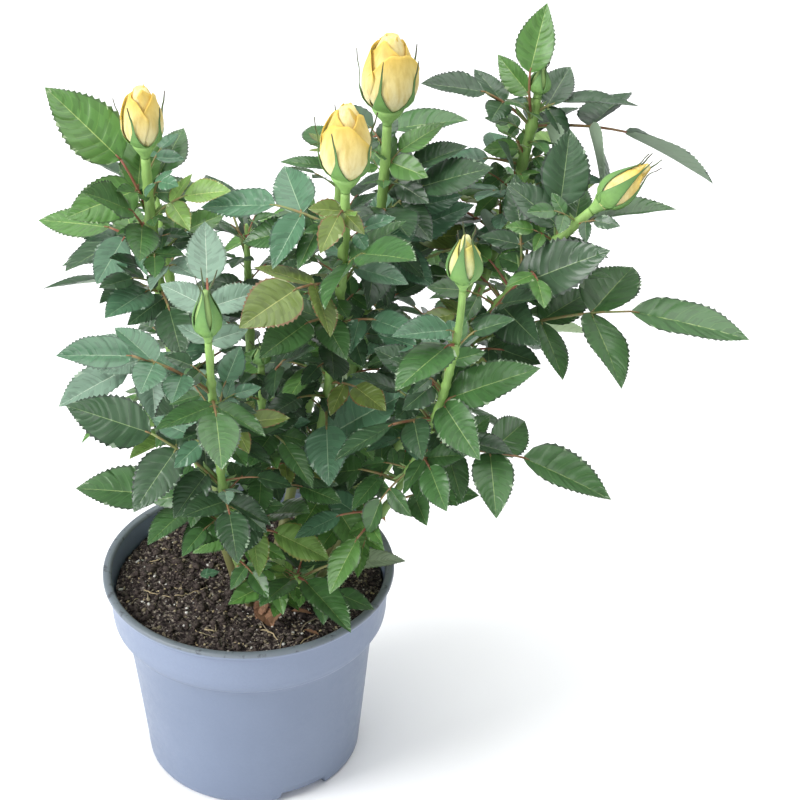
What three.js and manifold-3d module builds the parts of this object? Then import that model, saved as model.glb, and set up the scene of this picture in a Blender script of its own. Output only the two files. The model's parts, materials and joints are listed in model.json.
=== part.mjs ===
// A miniature rose bush in its nursery pot: twelve leafy shoots and a low basal shoot from one
// root, eight flower buds, compost and a tapered plastic pot with a collar.
// Millimetres, +Z up. The origin is the middle of the pot's flat underside, and -Y is the front.
import * as THREE from 'three';
import { mergeVertices } from 'three/addons/utils/BufferGeometryUtils.js';
import Module from 'manifold-3d';

const wasm = await Module();
wasm.setup();

// ---------------------------------------------------------------- driving dimensions

const GAP = 0.3; // clearance between neighbouring pieces
const UP = new THREE.Vector3(0, 0, 1);

const POT = {
  rimRadius: 65,
  height: 98,
  baseRadius: 48.5,
  bodyTopRadius: 55.5, // where the body meets the collar
  collarFoot: 69, // height at which the wall turns out to the collar
  shoulder: 77, // height at which the collar is full
  collarRadius: 61.5,
  lipHeight: 3.6,
  wall: 1.6,
  floor: 6,
  segments: 40,
};
const NOTCH = { count: 3, first: -59.5, arc: 27, height: 4.4, depth: 5 }; // drain notches in the foot
const DRAIN = { count: 6, radius: 4, ring: 30 };

const SOIL = { surface: 90, sag: 1.5, slope: 12, inset: 0.5, segments: 32 }; // it sags at the edge

const CANE = { footRadius: 2.5, entryRadius: 2.2, flare: 0.9, sides: 7, steps: 4 };
const STALK = { tipRadius: 1.9, sides: 6, steps: 5 }; // the stem inside a mass of foliage
const PETIOLE = { footRadius: 1.1, tipRadius: 0.8 }; // the three-sided stalk of a leaf
const LEAFLET = {
  width: 0.6, // of its length
  thickness: 0.022, // of its length
  fold: 0.3, // rise of the edges, of half the width
  droop: 0.1, // fall of the tip, of its length
  sideAngle: 64,
  sideLengths: [0.8, 0.64],
  sideSteps: [0.34, 0.78], // back from the end leaflet's foot, of the end leaflet's length
  seat: 0.8, // half the length of stalk that a side leaflet grows out of
};
// How far leaflets stray from the regular leaf: degrees, and shares of a length.
const STRAY = { turn: 16, angle: 9, roll: 14, lift: 0.16, length: 0.09 };
const FACING = { tilt: 0.42, front: -90 }; // upper faces lean by tilt towards an azimuth
const BOW = 0.1; // rise of a leaf's arch, of its reach

// The seeded leaves: pitch at the foot and the tip of a shoot, how far it strays, both in degrees,
// the end leaflet's share of the reach, and the share of a turn from one leaf to the next.
const GROW_PITCH = [-34, 16];
const GROW_SWAY = 12;
const GROW_BLADE = 0.6;
const GOLDEN = 0.618034;

// Where a leaf may go: [turn, lift] in degrees away from its own azimuth and pitch. The places
// further off serve only where none of the near ones is free.
const NEAR_PLACES = [[0, 0], [4, 3], [-4, 3], [4, -4], [-4, -4], [8, 5], [-8, 5], [8, -7], [-8, -7]];
const FAR_PLACES = [[18, 0], [-18, 0], [14, 14], [-14, 14], [28, -8], [-28, -8]];

const BUD = {
  sides: 9,
  sepals: 5,
  sepalLength: { open: 0.66, half: 0.8, green: 0.9 }, // of the bud's length
  sepalSpread: { open: [1.18, 1.34], half: [1.18, 0.95], green: [1.2, 1] }, // knee, tip: of its radius
};

// Where the shoots leave the compost: the spread of their tips, drawn in round the root. A shoot
// that would stand too near another there has a foot of its own.
const ROOT = { x: 12, y: -4 };
const CROWN = { x: 45, y: 0 };
const ROOT_SPREAD = 0.2;

// A shoot rises from the compost to its tip. bend gives the corner of its curve, as shares of the
// way out and of the way up. Foliage starts at the share enter of its length.
// grow says how the seeded rule fills it: how many leaves, over which shares of its length,
// towards which azimuth (degrees, 0 along +X and 90 to the back) and over how wide a fan.
const SHOOTS = {
  left: {
    tip: [-35, -5, 302], bend: [0.95, 0.5], enter: 0.36,
    bud: { length: 31.5, width: 17, form: 'open' },
    grow: { count: 5, from: 0.42, to: 0.84, azimuth: -70, fan: 300, reach: 48 },
  },
  middle: {
    tip: [45, -25, 297.5], bend: [0.9, 0.45], enter: 0.24,
    bud: { length: 38.5, width: 21, form: 'open' },
    grow: { count: 8, from: 0.3, to: 0.84, azimuth: -80, fan: 280, reach: 46 },
  },
  tall: {
    tip: [61, 25, 302.5], bend: [0.9, 0.45], enter: 0.26,
    bud: { length: 40.5, width: 23.5, form: 'open' },
    grow: { count: 7, from: 0.32, to: 0.84, azimuth: -40, fan: 280, reach: 48 },
  },
  right: {
    tip: [144, 0, 277], bend: [0.55, 0.75], enter: 0.26,
    bud: { length: 31, width: 13.5, form: 'half' },
    grow: { count: 4, from: 0.34, to: 0.86, azimuth: 60, fan: 240, reach: 48 },
  },
  front_right: {
    tip: [91, -55, 271], bend: [0.95, 0.5], enter: 0.2,
    bud: { length: 25, width: 13.5, form: 'half' },
    grow: { count: 5, from: 0.3, to: 0.8, azimuth: -150, fan: 220, reach: 44 },
  },
  front_left: {
    tip: [-7, -70, 256], bend: [0.9, 0.45], enter: 0.2,
    bud: { length: 24, width: 10.5, form: 'green' },
    grow: { count: 3, from: 0.34, to: 0.74, azimuth: -30, fan: 200, reach: 42 },
  },
  far_right: {
    tip: [123, 45, 306], bend: [0.85, 0.5], enter: 0.34,
    bud: { length: 14, width: 8.5, form: 'green' },
    grow: { count: 4, from: 0.4, to: 0.9, azimuth: 70, fan: 240, reach: 50 },
  },
  small: {
    tip: [11, -40, 227], bend: [0.9, 0.5], enter: 0.2, foot: [4.5, -10.5],
    bud: { length: 9, width: 7, form: 'green' },
    grow: { count: 4, from: 0.3, to: 0.84, azimuth: -50, fan: 240, reach: 40 },
  },
  back_left: {
    tip: [-40, 62, 262], bend: [0.8, 0.5], enter: 0.24,
    grow: { count: 10, from: 0.27, to: 1, azimuth: 120, fan: 250, reach: 54 },
  },
  back: {
    tip: [42, 95, 272], bend: [0.8, 0.5], enter: 0.24,
    grow: { count: 11, from: 0.27, to: 1, azimuth: 90, fan: 260, reach: 54 },
  },
  back_right: {
    tip: [116, 88, 242], bend: [0.75, 0.6], enter: 0.24,
    grow: { count: 10, from: 0.27, to: 1, azimuth: 40, fan: 240, reach: 56 },
  },
  inner: {
    tip: [2, 26, 256], bend: [0.85, 0.5], enter: 0.28,
    grow: { count: 10, from: 0.32, to: 1, azimuth: 90, fan: 360, reach: 46 },
  },
  basal: {
    tip: [24, -40, 122], bend: [0.8, 0.6], enter: 0.3, foot: [13, -18.5],
    grow: { count: 1, from: 0.6, to: 0.9, azimuth: 100, fan: 120, reach: 26 },
  },
};

// The leaves that carry the bush's outline, each by where it leaves its shoot and where its end
// leaflet points: [share up the shoot, azimuth, pitch, reach, length of end leaflet, leaflets].
const LEADING_LEAVES = {
  left: [
    [0.86, 166, 54, 70, 41, 3], [0.87, 178, -52, 41, 27, 3], [0.89, 60, 44, 40, 25, 3],
    [0.87, -10, 26, 39, 20, 3], [0.72, -137, 53, 31, 18, 3], [0.71, -119, 14, 39, 29, 1],
    [0.8, -146, 51, 56, 30, 3], [0.77, 46, 23, 35, 18, 3], [0.44, 156, -16, 23, 20, 3],
    [0.6, 34, 17, 33, 22, 3],
  ],
  middle: [
    [0.92, 164, 4, 62, 33, 3], [0.97, -116, -23, 23, 18, 3], [0.84, -52, 32, 54, 35, 3],
    [0.81, -119, 17, 62, 33, 3], [0.36, -48, 59, 76, 52, 3], [0.28, 8, 29, 35, 29, 3],
    [0.91, 170, -7, 43, 24, 3], [0.66, -152, 31, 40, 34, 3],
  ],
  tall: [
    [0.91, 25, 35, 33, 23, 3], [0.86, 11, 32, 42, 25, 3], [0.83, -73, 18, 43, 37, 3],
    [0.73, 5, 33, 49, 34, 3], [0.81, -9, 37, 55, 32, 3], [0.66, -29, 31, 70, 19, 3],
    [0.95, 129, 37, 29, 18, 3], [0.77, -53, -56, 29, 18, 3], [0.54, -126, 70, 31, 18, 3],
    [0.58, 14, 36, 41, 20, 3],
  ],
  right: [
    [0.61, -17, 39, 66, 44, 3], [0.54, -12, 11, 120, 49, 5], [0.87, 2, 22, 51, 34, 3],
    [0.76, -104, 47, 49, 34, 1], [0.59, -46, 40, 43, 24, 3], [0.52, -28, 9, 37, 18, 3],
    [0.87, 77, 58, 47, 33, 3], [0.74, 91, 62, 44, 23, 3],
  ],
  front_right: [
    [0.86, -124, 5, 42, 36, 1], [0.55, -11, -7, 82, 40, 5], [0.68, -7, 32, 46, 39, 3],
    [0.84, -17, 41, 31, 18, 1], [0.89, -154, 15, 29, 25, 1], [0.37, -16, 19, 42, 21, 3],
    [0.72, 169, 34, 34, 21, 3], [0.49, -164, -57, 35, 18, 3],
  ],
  front_left: [
    [0.84, -81, 0, 45, 30, 3], [0.86, -162, 27, 67, 29, 5], [0.89, 95, 43, 69, 30, 3],
    [0.56, 175, 30, 73, 36, 5], [0.4, -174, 25, 67, 36, 5], [0.69, 10, 24, 31, 20, 3],
    [0.78, 55, 8, 31, 18, 3],
  ],
  far_right: [
    [0.95, 59, 70, 52, 29, 3], [0.94, -169, 34, 55, 28, 3], [0.94, 2, -16, 84, 45, 5],
    [0.97, 7, 5, 45, 33, 3], [0.81, -123, 67, 31, 21, 3], [0.87, 114, 36, 29, 18, 3],
    [0.78, -116, 29, 41, 18, 3], [0.86, 170, -1, 44, 30, 3], [0.66, -101, 72, 34, 21, 3],
    [0.78, 156, 7, 31, 18, 3],
  ],
  small: [
    [0.38, -156, -14, 33, 23, 3], [0.33, -62, 49, 47, 31, 3], [0.87, -39, 53, 47, 20, 3],
    [0.6, -13, -3, 33, 23, 3], [0.6, -89, -1, 33, 21, 3], [0.66, 40, 46, 43, 24, 3],
    [0.66, -178, -56, 35, 18, 3],
  ],
  basal: [
    [0.77, -142, 9, 35, 18, 3], [0.95, -51, -6, 38, 33, 3], [0.89, -102, 14, 30, 26, 1],
    [0.74, 67, 33, 31, 18, 3], [0.54, -7, 4, 38, 18, 3], [0.83, -1, 23, 50, 26, 1],
  ],
};

const COLOURS = {
  pot: 0x99a7c2,
  soil: 0x40352e,
  cane: 0x6f9a4e,
  foliage: 0x4c7a48,
  bud: { open: 0xf0cf6a, half: 0xb9c46a, green: 0x7ba35c },
};

// ---------------------------------------------------------------- helpers

// Mulberry32: the same seed gives the same leaves each time.
function seeded(seed) {
  let state = seed >>> 0;
  return () => {
    state = (state + 0x6d2b79f5) >>> 0;
    let t = state;
    t = Math.imul(t ^ (t >>> 15), t | 1);
    t ^= t + Math.imul(t ^ (t >>> 7), t | 61);
    return ((t ^ (t >>> 14)) >>> 0) / 4294967296;
  };
}

const radians = THREE.MathUtils.degToRad;
const lerp = THREE.MathUtils.lerp;

// A geometry as a solid: its corners welded, its faces turned outward.
function solidOf(geometry) {
  const bare = new THREE.BufferGeometry();
  bare.setAttribute('position', geometry.getAttribute('position'));
  bare.setIndex(geometry.index);
  const merged = mergeVertices(bare, 1e-4);
  const corners = merged.index.array;
  const triangles = [];
  for (let i = 0; i < corners.length; i += 3) {
    const [a, b, c] = [corners[i], corners[i + 1], corners[i + 2]];
    if (a !== b && b !== c && a !== c) triangles.push(a, b, c);
  }
  const build = (order) => new wasm.Manifold(new wasm.Mesh({
    numProp: 3,
    vertProperties: merged.attributes.position.array,
    triVerts: new Uint32Array(order),
  }));
  const solid = build(triangles);
  return solid.volume() < 0 ? build(triangles.slice().reverse()) : solid;
}

// The outer skin of a union: what is left without the small voids shut in where leaves meet.
function outerSkin(solid) {
  return solid.decompose().reduce((best, shell) => (shell.volume() > best.volume() ? shell : best));
}

function meshOf(solid, name, colour, roughness) {
  const data = solid.getMesh();
  const geometry = new THREE.BufferGeometry();
  geometry.setAttribute('position', new THREE.BufferAttribute(new Float32Array(data.vertProperties), 3));
  geometry.setIndex(new THREE.BufferAttribute(new Uint32Array(data.triVerts), 1));
  geometry.computeVertexNormals();
  const material = new THREE.MeshStandardMaterial({ color: colour, roughness, metalness: 0 });
  const mesh = new THREE.Mesh(geometry, material);
  mesh.name = name;
  return mesh;
}

// A closed profile of [radius, height] pairs turned about the Z axis.
function turned(profile, segments) {
  const points = profile.map(([r, z]) => new THREE.Vector2(r, z));
  return new THREE.LatheGeometry(points, segments).rotateX(Math.PI / 2);
}

// A solid from its faces, given as corners three by three.
const closed = (faces) => solidOf(new THREE.BufferGeometry().setFromPoints(faces));
const quad = (a, b, c, d) => [a, b, c, a, c, d];

// A tapering limb: a cylinder bent onto a curve that lies in an upright plane.
// line(s) gives a point and a direction, side is the plane's level normal.
function limb(line, side, radiusAt, sides, steps, levelFoot) {
  const shape = new THREE.CylinderGeometry(1, 1, 1, sides, steps);
  const place = shape.getAttribute('position');
  const corner = new THREE.Vector3();
  for (let i = 0; i < place.count; i++) {
    corner.fromBufferAttribute(place, i);
    const share = THREE.MathUtils.clamp(corner.y + 0.5, 0, 1);
    const { point, direction } = line(share);
    const forward = levelFoot && share < 1e-6 ? UP.clone() : direction;
    const across = new THREE.Vector3().crossVectors(side, forward).normalize();
    point.addScaledVector(side, corner.x * radiusAt(share));
    point.addScaledVector(across, corner.z * radiusAt(share));
    place.setXYZ(i, point.x, point.y, point.z);
  }
  return solidOf(shape);
}

// ---------------------------------------------------------------- pot and compost

function buildPot() {
  const { rimRadius, height, baseRadius, bodyTopRadius, collarFoot, collarRadius } = POT;
  const { shoulder, lipHeight, wall, floor } = POT;
  const lipFoot = height - lipHeight;
  const profile = [
    [0, 0], [baseRadius - 1.5, 0], [baseRadius, 1.5],
    [bodyTopRadius, collarFoot], [collarRadius - 1.6, collarFoot + 3.5], [collarRadius, shoulder],
    [collarRadius + 0.9, lipFoot], [rimRadius, lipFoot + 0.8], [rimRadius, height - 0.8],
    [rimRadius - 1, height], [collarRadius - wall + 1, height], [collarRadius - wall, shoulder],
    [bodyTopRadius - wall, collarFoot + 1], [baseRadius - wall + 0.6, floor], [0, floor],
  ];
  let pot = solidOf(turned(profile, POT.segments));
  for (let i = 0; i < NOTCH.count; i++) {
    const middle = radians(NOTCH.first + (i * 360) / NOTCH.count);
    const width = 2 * baseRadius * Math.sin(radians(NOTCH.arc / 2));
    const cut = new THREE.BoxGeometry(2 * NOTCH.depth, width, 2 * NOTCH.height);
    const reach = baseRadius * Math.cos(radians(NOTCH.arc / 2));
    cut.rotateZ(middle).translate(reach * Math.cos(middle), reach * Math.sin(middle), 0);
    pot = pot.subtract(solidOf(cut));
  }
  for (let i = 0; i < DRAIN.count; i++) {
    const turn = radians((i * 360) / DRAIN.count);
    const hole = new THREE.CylinderGeometry(DRAIN.radius, DRAIN.radius, 4 * floor, 12);
    hole.rotateX(Math.PI / 2).translate(DRAIN.ring * Math.cos(turn), DRAIN.ring * Math.sin(turn), 0);
    pot = pot.subtract(solidOf(hole));
  }
  return pot;
}

function buildSoil() {
  const { baseRadius, bodyTopRadius, collarFoot, shoulder, collarRadius, wall, floor } = POT;
  const inset = wall + SOIL.inset;
  const edge = SOIL.surface - SOIL.sag;
  const profile = [
    [0, floor + GAP], [baseRadius - inset, floor + GAP],
    [bodyTopRadius - inset - 0.4, collarFoot + 1], [collarRadius - inset - 0.8, shoulder],
    [collarRadius - inset - 0.2, edge], [collarRadius - inset - SOIL.slope, SOIL.surface], [0, SOIL.surface],
  ];
  return solidOf(turned(profile, SOIL.segments));
}

// ---------------------------------------------------------------- shoots

// The shoot's curve, a quadratic Bezier in an upright plane.
function shootLine(shoot) {
  const tip = new THREE.Vector3(...shoot.tip);
  const drawnIn = [ROOT.x + ROOT_SPREAD * (tip.x - CROWN.x), ROOT.y + ROOT_SPREAD * (tip.y - CROWN.y)];
  const foot = new THREE.Vector3(...(shoot.foot ?? drawnIn), SOIL.surface + GAP);
  const [out, up] = shoot.bend;
  const bend = new THREE.Vector3(lerp(foot.x, tip.x, out), lerp(foot.y, tip.y, out), lerp(foot.z, tip.z, up));
  const curve = new THREE.QuadraticBezierCurve3(foot, bend, tip);
  const side = new THREE.Vector3().crossVectors(UP, tip.clone().sub(foot)).normalize();
  const at = (t) => ({ point: curve.getPoint(t), direction: curve.getTangent(t) });
  return { at, side, length: curve.getLength() };
}

function stretch(line, from, to) {
  return (s) => line.at(lerp(from, to, s));
}

function buildCane(shoot, line) {
  const { footRadius, entryRadius, flare, sides, steps } = CANE;
  const radiusAt = (s) => lerp(footRadius, entryRadius, s) + flare * Math.exp(-12 * s);
  return limb(stretch(line, 0, shoot.enter), line.side, radiusAt, sides, steps, true);
}

function buildStalk(shoot, line) {
  const start = shoot.enter + GAP / line.length;
  const radiusAt = (s) => lerp(CANE.entryRadius, STALK.tipRadius, s);
  return limb(stretch(line, start, 1), line.side, radiusAt, STALK.sides, STALK.steps, false);
}

// ---------------------------------------------------------------- leaves

// The plan of a compound leaf: its stalk's arch, the stations of the stalk's rings, and each
// leaflet's seat, foot, direction, upper normal and length. The end leaflet comes first.
function leafPlan(foot, azimuth, pitch, reach, blade, leaflets, facing, seed) {
  const random = seeded(seed);
  const sway = (range) => range * (2 * random() - 1);
  const a = radians(azimuth);
  const p = radians(pitch);
  const chord = new THREE.Vector3(Math.cos(p) * Math.cos(a), Math.cos(p) * Math.sin(a), Math.sin(p));
  const rise = new THREE.Vector3(-Math.sin(p) * Math.cos(a), -Math.sin(p) * Math.sin(a), Math.cos(p));
  const pointAt = (s) => foot.clone().addScaledVector(chord, reach * s)
    .addScaledVector(rise, 4 * BOW * reach * s * (1 - s));
  const directionAt = (s) => chord.clone().addScaledVector(rise, 4 * BOW * (1 - 2 * s)).normalize();
  const end = 1 - blade / reach;
  const ahead = pointAt(1).sub(pointAt(end)).normalize();
  const lean = radians(facing);
  const upper = new THREE.Vector3(FACING.tilt * Math.cos(lean), FACING.tilt * Math.sin(lean), 1);
  upper.addScaledVector(ahead, -upper.dot(ahead)).normalize();
  upper.applyAxisAngle(ahead, radians(sway(STRAY.turn)));
  const across = new THREE.Vector3().crossVectors(upper, ahead);
  const plans = [{ hand: 0, foot: pointAt(end), along: ahead, normal: upper, length: blade }];
  const stations = [end];
  for (let pair = 0; pair < (leaflets - 1) / 2; pair++) {
    const back = Math.min((LEAFLET.sideSteps[pair] * blade) / reach, end * (0.55 + 0.3 * pair));
    const seat = end - back;
    stations.unshift(seat - LEAFLET.seat / reach, seat + LEAFLET.seat / reach);
    for (const hand of [-1, 1]) {
      const angle = radians(LEAFLET.sideAngle + sway(STRAY.angle));
      const along = ahead.clone().multiplyScalar(Math.cos(angle))
        .addScaledVector(across, hand * Math.sin(angle)).addScaledVector(upper, sway(STRAY.lift)).normalize();
      const normal = upper.clone().addScaledVector(along, -upper.dot(along)).normalize();
      normal.applyAxisAngle(along, radians(sway(STRAY.roll)));
      const length = blade * LEAFLET.sideLengths[pair] * (1 + sway(STRAY.length));
      plans.push({ hand, pair, foot: pointAt(seat), along, normal, length });
    }
  }
  stations.unshift(0, stations[0] / 2);
  return { pointAt, directionAt, upper, stations, leaflets: plans };
}

// The three-sided rings of a leaf's stalk, each a ridge and two lower corners.
function stalkRings({ pointAt, directionAt, upper, stations }) {
  return stations.map((s) => {
    const direction = directionAt(s);
    const normal = upper.clone().addScaledVector(direction, -upper.dot(direction)).normalize();
    const across = new THREE.Vector3().crossVectors(normal, direction);
    const radius = lerp(PETIOLE.footRadius, PETIOLE.tipRadius, s / stations[stations.length - 1]);
    const corner = (angle) => pointAt(s)
      .addScaledVector(normal, radius * Math.cos(angle))
      .addScaledVector(across, radius * Math.sin(angle));
    const third = (2 * Math.PI) / 3;
    return { ridge: corner(0), left: corner(-third), right: corner(third) };
  });
}

// The four corners on the stalk that a leaflet grows out of, in order round the leaflet.
function seatOf(leaflet, rings) {
  if (leaflet.hand === 0) {
    const { ridge, left, right } = rings[rings.length - 1];
    return [ridge, left, right, ridge];
  }
  const front = rings[rings.length - 2 - 2 * leaflet.pair];
  const back = rings[rings.length - 3 - 2 * leaflet.pair];
  if (leaflet.hand < 0) return [back.ridge, back.left, front.left, front.ridge];
  return [front.ridge, front.right, back.right, back.ridge];
}

// A blade's faces, as corners taken three by three: thin, folded along the midrib, and pointed.
function bladeFaces([a, b, c, d], { hand, foot, along, normal, length }) {
  const across = new THREE.Vector3().crossVectors(normal, along);
  const half = (length * LEAFLET.width) / 2;
  const thick = (length * LEAFLET.thickness) / 2;
  const bend = (share, out) => half * LEAFLET.fold * Math.abs(out) - LEAFLET.droop * length * share ** 2;
  const at = (share, out, rise) => foot.clone()
    .addScaledVector(along, length * share)
    .addScaledVector(across, half * out)
    .addScaledVector(normal, rise + bend(share, out));
  const [upper, lower, tip] = [at(0.42, 0, thick), at(0.42, 0, -thick), at(1, 0, 0)];
  const near = hand === 0 ? [0.22, 0.9] : [0.38, 1];
  const [left, right] = [at(near[0], -near[1], 0), at(near[0], near[1], 0)];
  const faces = [a, b, left, b, lower, left, b, c, lower, c, right, lower, c, d, right, d, upper, right];
  faces.push(d, a, upper, a, left, upper);
  for (const [rim, before, after, side] of [[left, upper, lower, -1], [right, lower, upper, 1]]) {
    if (hand === 0) {
      const far = at(0.6, 0.86 * side, 0);
      faces.push(before, rim, far, before, far, tip, rim, after, far, far, after, tip);
    } else {
      faces.push(before, rim, tip, rim, after, tip);
    }
  }
  return faces;
}

// One blade by itself, for the test of what it touches.
function bladeSolid(leaflet, rings) {
  const [a, b, c, d] = seatOf(leaflet, rings);
  return closed([...bladeFaces([a, b, c, d], leaflet), ...quad(d, c, b, a)]);
}

// A leaf: the stalk with the given leaflets growing out of its sides and its end, one closed skin.
function leafSolid(leaflets, rings) {
  const last = rings[rings.length - 1];
  const faces = [rings[0].ridge, rings[0].right, rings[0].left];
  const grown = (hand, pair) => leaflets.find((one) => one.hand === hand && one.pair === pair);
  for (let i = 0; i + 1 < rings.length; i++) {
    const [back, front] = [rings[i], rings[i + 1]];
    const pair = (rings.length - 3 - i) / 2;
    faces.push(...quad(back.left, back.right, front.right, front.left));
    for (const hand of [-1, 1]) {
      const sides = hand < 0
        ? [back.ridge, back.left, front.left, front.ridge]
        : [front.ridge, front.right, back.right, back.ridge];
      const leaflet = grown(hand, pair);
      faces.push(...(leaflet ? bladeFaces(sides, leaflet) : quad(...sides)));
    }
  }
  const end = grown(0, undefined);
  faces.push(...(end ? bladeFaces(seatOf(end, rings), end) : [last.ridge, last.left, last.right]));
  return closed(faces);
}

// Every leaf of a shoot: the leading ones, then those of the seeded rule.
function leafRows(name, shoot, shootIndex) {
  const listed = LEADING_LEAVES[name] ?? [];
  const rows = listed.map((row) => [...row, FACING.front]);
  const { count, from, to, azimuth, fan, reach } = shoot.grow;
  const random = seeded(1000 + shootIndex);
  for (let i = 0; i < count; i++) {
    const share = lerp(from, to, (i + 0.5) / count);
    const turn = azimuth + fan * (((i + 1) * GOLDEN) % 1 - 0.5);
    const pitch = lerp(...GROW_PITCH, share) + GROW_SWAY * (2 * random() - 1);
    const length = reach * lerp(0.9, 1.15, random());
    rows.push([share, turn, pitch, length, length * GROW_BLADE, 3, azimuth]);
  }
  return rows;
}

// ---------------------------------------------------------------- buds

// A bud on the Z axis with its foot at the origin: the hip, the wrapped petals and five sepals.
function budSolid({ length, width, form }) {
  const r = width / 2;
  const hip = 0.2 * length;
  const mouth = { open: 0.34, half: 0.2, green: 0.12 }[form] * r;
  const profile = [
    [0, 0], [Math.min(0.42 * r, 2), 0], [0.62 * r, 0.6 * hip], [0.9 * r, hip + 0.1 * length],
    [r, hip + 0.28 * length], [0.8 * r, hip + 0.5 * length], [mouth + 0.14 * r, hip + 0.72 * length],
    [mouth, 0.985 * length], [0, length],
  ];
  const pieces = [solidOf(turned(profile, BUD.sides))];
  const sepalLength = BUD.sepalLength[form] * length;
  for (let i = 0; i < BUD.sepals; i++) {
    const turn = ((i + 0.5) * 2 * Math.PI) / BUD.sepals;
    const outward = new THREE.Vector3(Math.cos(turn), Math.sin(turn), 0);
    pieces.push(sepal(outward, r, [hip, hip + 0.24 * length, hip + sepalLength], BUD.sepalSpread[form]));
  }
  return outerSkin(wasm.Manifold.union(pieces));
}

// A sepal: three-sided, sunk in the hip, standing clear along the petals and ending in a point.
function sepal(outward, r, [hip, knee, tip], [kneeOut, tipOut]) {
  const sideways = new THREE.Vector3().crossVectors(UP, outward);
  const at = (height, out, aside) => new THREE.Vector3(0, 0, height)
    .addScaledVector(outward, out * r).addScaledVector(sideways, aside * r);
  const foot = [at(0.7 * hip, 0.5, -0.26), at(0.7 * hip, 0.5, 0.26), at(hip, 0.3, 0)];
  const bend = [at(knee, kneeOut, -0.26), at(knee, kneeOut, 0.26), at(knee, kneeOut - 0.14, 0)];
  const point = at(tip, tipOut, 0);
  const faces = [foot[0], foot[2], foot[1]];
  for (let i = 0; i < 3; i++) {
    const next = (i + 1) % 3;
    faces.push(...quad(foot[i], foot[next], bend[next], bend[i]), bend[i], bend[next], point);
  }
  return closed(faces);
}

function placeBud(shoot, line) {
  const { point, direction } = line.at(1);
  const place = new THREE.Matrix4().makeRotationFromQuaternion(
    new THREE.Quaternion().setFromUnitVectors(UP, direction),
  );
  place.setPosition(point.addScaledVector(direction, GAP));
  return budSolid(shoot.bud).transform(place.elements);
}

// ---------------------------------------------------------------- the bush

const bush = new THREE.Group();
const standing = [buildPot(), buildSoil()]; // everything that leaves have to keep clear of
bush.add(meshOf(standing[0], 'pot', COLOURS.pot, 0.45));
bush.add(meshOf(standing[1], 'compost', COLOURS.soil, 0.95));

const shoots = Object.entries(SHOOTS).map(([name, shoot], index) => {
  const line = shootLine(shoot);
  return { name, shoot, line, index, pieces: [buildStalk(shoot, line)], crowns: [] };
});

for (const { name, shoot, line } of shoots) {
  const cane = buildCane(shoot, line);
  standing.push(cane);
  bush.add(meshOf(cane, `cane_${name}`, COLOURS.cane, 0.55));
  if (shoot.bud) {
    const bud = placeBud(shoot, line);
    standing.push(bud);
    bush.add(meshOf(bud, `bud_${name}`, COLOURS.bud[shoot.bud.form], 0.6));
  }
}

// True where two pieces lie closer than the clearance.
function touch(piece, other) {
  const [a, b] = [piece.boundingBox(), other.boundingBox()];
  const apart = [0, 1, 2].some((k) => b.min[k] > a.max[k] + GAP || b.max[k] < a.min[k] - GAP);
  return !apart && piece.minGap(other, 2 * GAP) < GAP;
}

// True where a piece of one mass would touch a limb, a bud, the pot or another mass.
function strays(piece, own) {
  const near = (other) => touch(piece, other);
  return standing.some(near) || shoots.some((other) => other !== own && other.pieces.some(near));
}

// The leaf in the first of its places where all of it is free, or else where most of it is.
// A leaflet that isn't free is left off, and so is a leaf whose stalk or end leaflet isn't.
// Stalks of one shoot may run together at their feet: crown is the leaf without its foot.
function settle(own, row, seed, places) {
  const [share, azimuth, pitch, ...sizes] = row;
  const foot = own.line.at(share).point;
  let best = [];
  for (const [turn, lift] of places) {
    const plan = leafPlan(foot, azimuth + turn, pitch + lift, ...sizes, seed);
    const rings = stalkRings(plan);
    const beyond = rings.slice(1);
    const stalk = leafSolid([], rings);
    const crownStalk = leafSolid([], beyond);
    if (strays(stalk, own) || own.crowns.some((other) => touch(stalk, other))) continue;
    if (own.pieces.slice(1).some((other) => touch(crownStalk, other))) continue;
    const free = [];
    for (const leaflet of plan.leaflets) {
      const blade = bladeSolid(leaflet, rings);
      const meets = (one) => one.leaflet.pair !== leaflet.pair && touch(blade, one.blade);
      if (strays(blade, own) || own.pieces.some((other) => touch(blade, other)) || free.some(meets)) continue;
      free.push({ leaflet, blade });
    }
    if (free[0]?.leaflet !== plan.leaflets[0] || free.length <= (best[0]?.count ?? 0)) continue;
    const leaflets = free.map((one) => one.leaflet);
    best = [{ count: free.length, solid: leafSolid(leaflets, rings), crown: leafSolid(leaflets, beyond) }];
    if (free.length === plan.leaflets.length) break;
  }
  own.pieces.push(...best.map((one) => one.solid));
  own.crowns.push(...best.map((one) => one.crown));
  return best.length > 0;
}

// The first leaf of every shoot goes on, then the second, so that no mass crowds out another.
const waiting = shoots.map((own) => leafRows(own.name, own.shoot, own.index));
const rounds = Math.max(...waiting.map((list) => list.length));
for (let round = 0; round < rounds; round++) {
  shoots.forEach((own, k) => {
    if (round >= waiting[k].length) return;
    const [row, seed] = [waiting[k][round], 100 * own.index + round];
    if (!settle(own, row, seed, NEAR_PLACES)) settle(own, row, seed, FAR_PLACES);
  });
}

for (const { name, pieces } of shoots) {
  const mass = outerSkin(wasm.Manifold.union(pieces));
  bush.add(meshOf(mass, `foliage_${name}`, COLOURS.foliage, 0.5));
}

export default bush;
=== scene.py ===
"""A miniature rose bush in a nursery pot: leaves, stems, buds, compost and pot in full detail.

Lengths are in millimetres until a mesh is made, but for the floor, the lights and the camera,
which are in metres. +Z is up and -Y is the front.
The shoots and leaves grow by the rule of the CAD source, which is written again here.
"""
import json
import math
from itertools import combinations

import bpy
import numpy as np
from mathutils import Matrix, Vector, kdtree, noise

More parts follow.
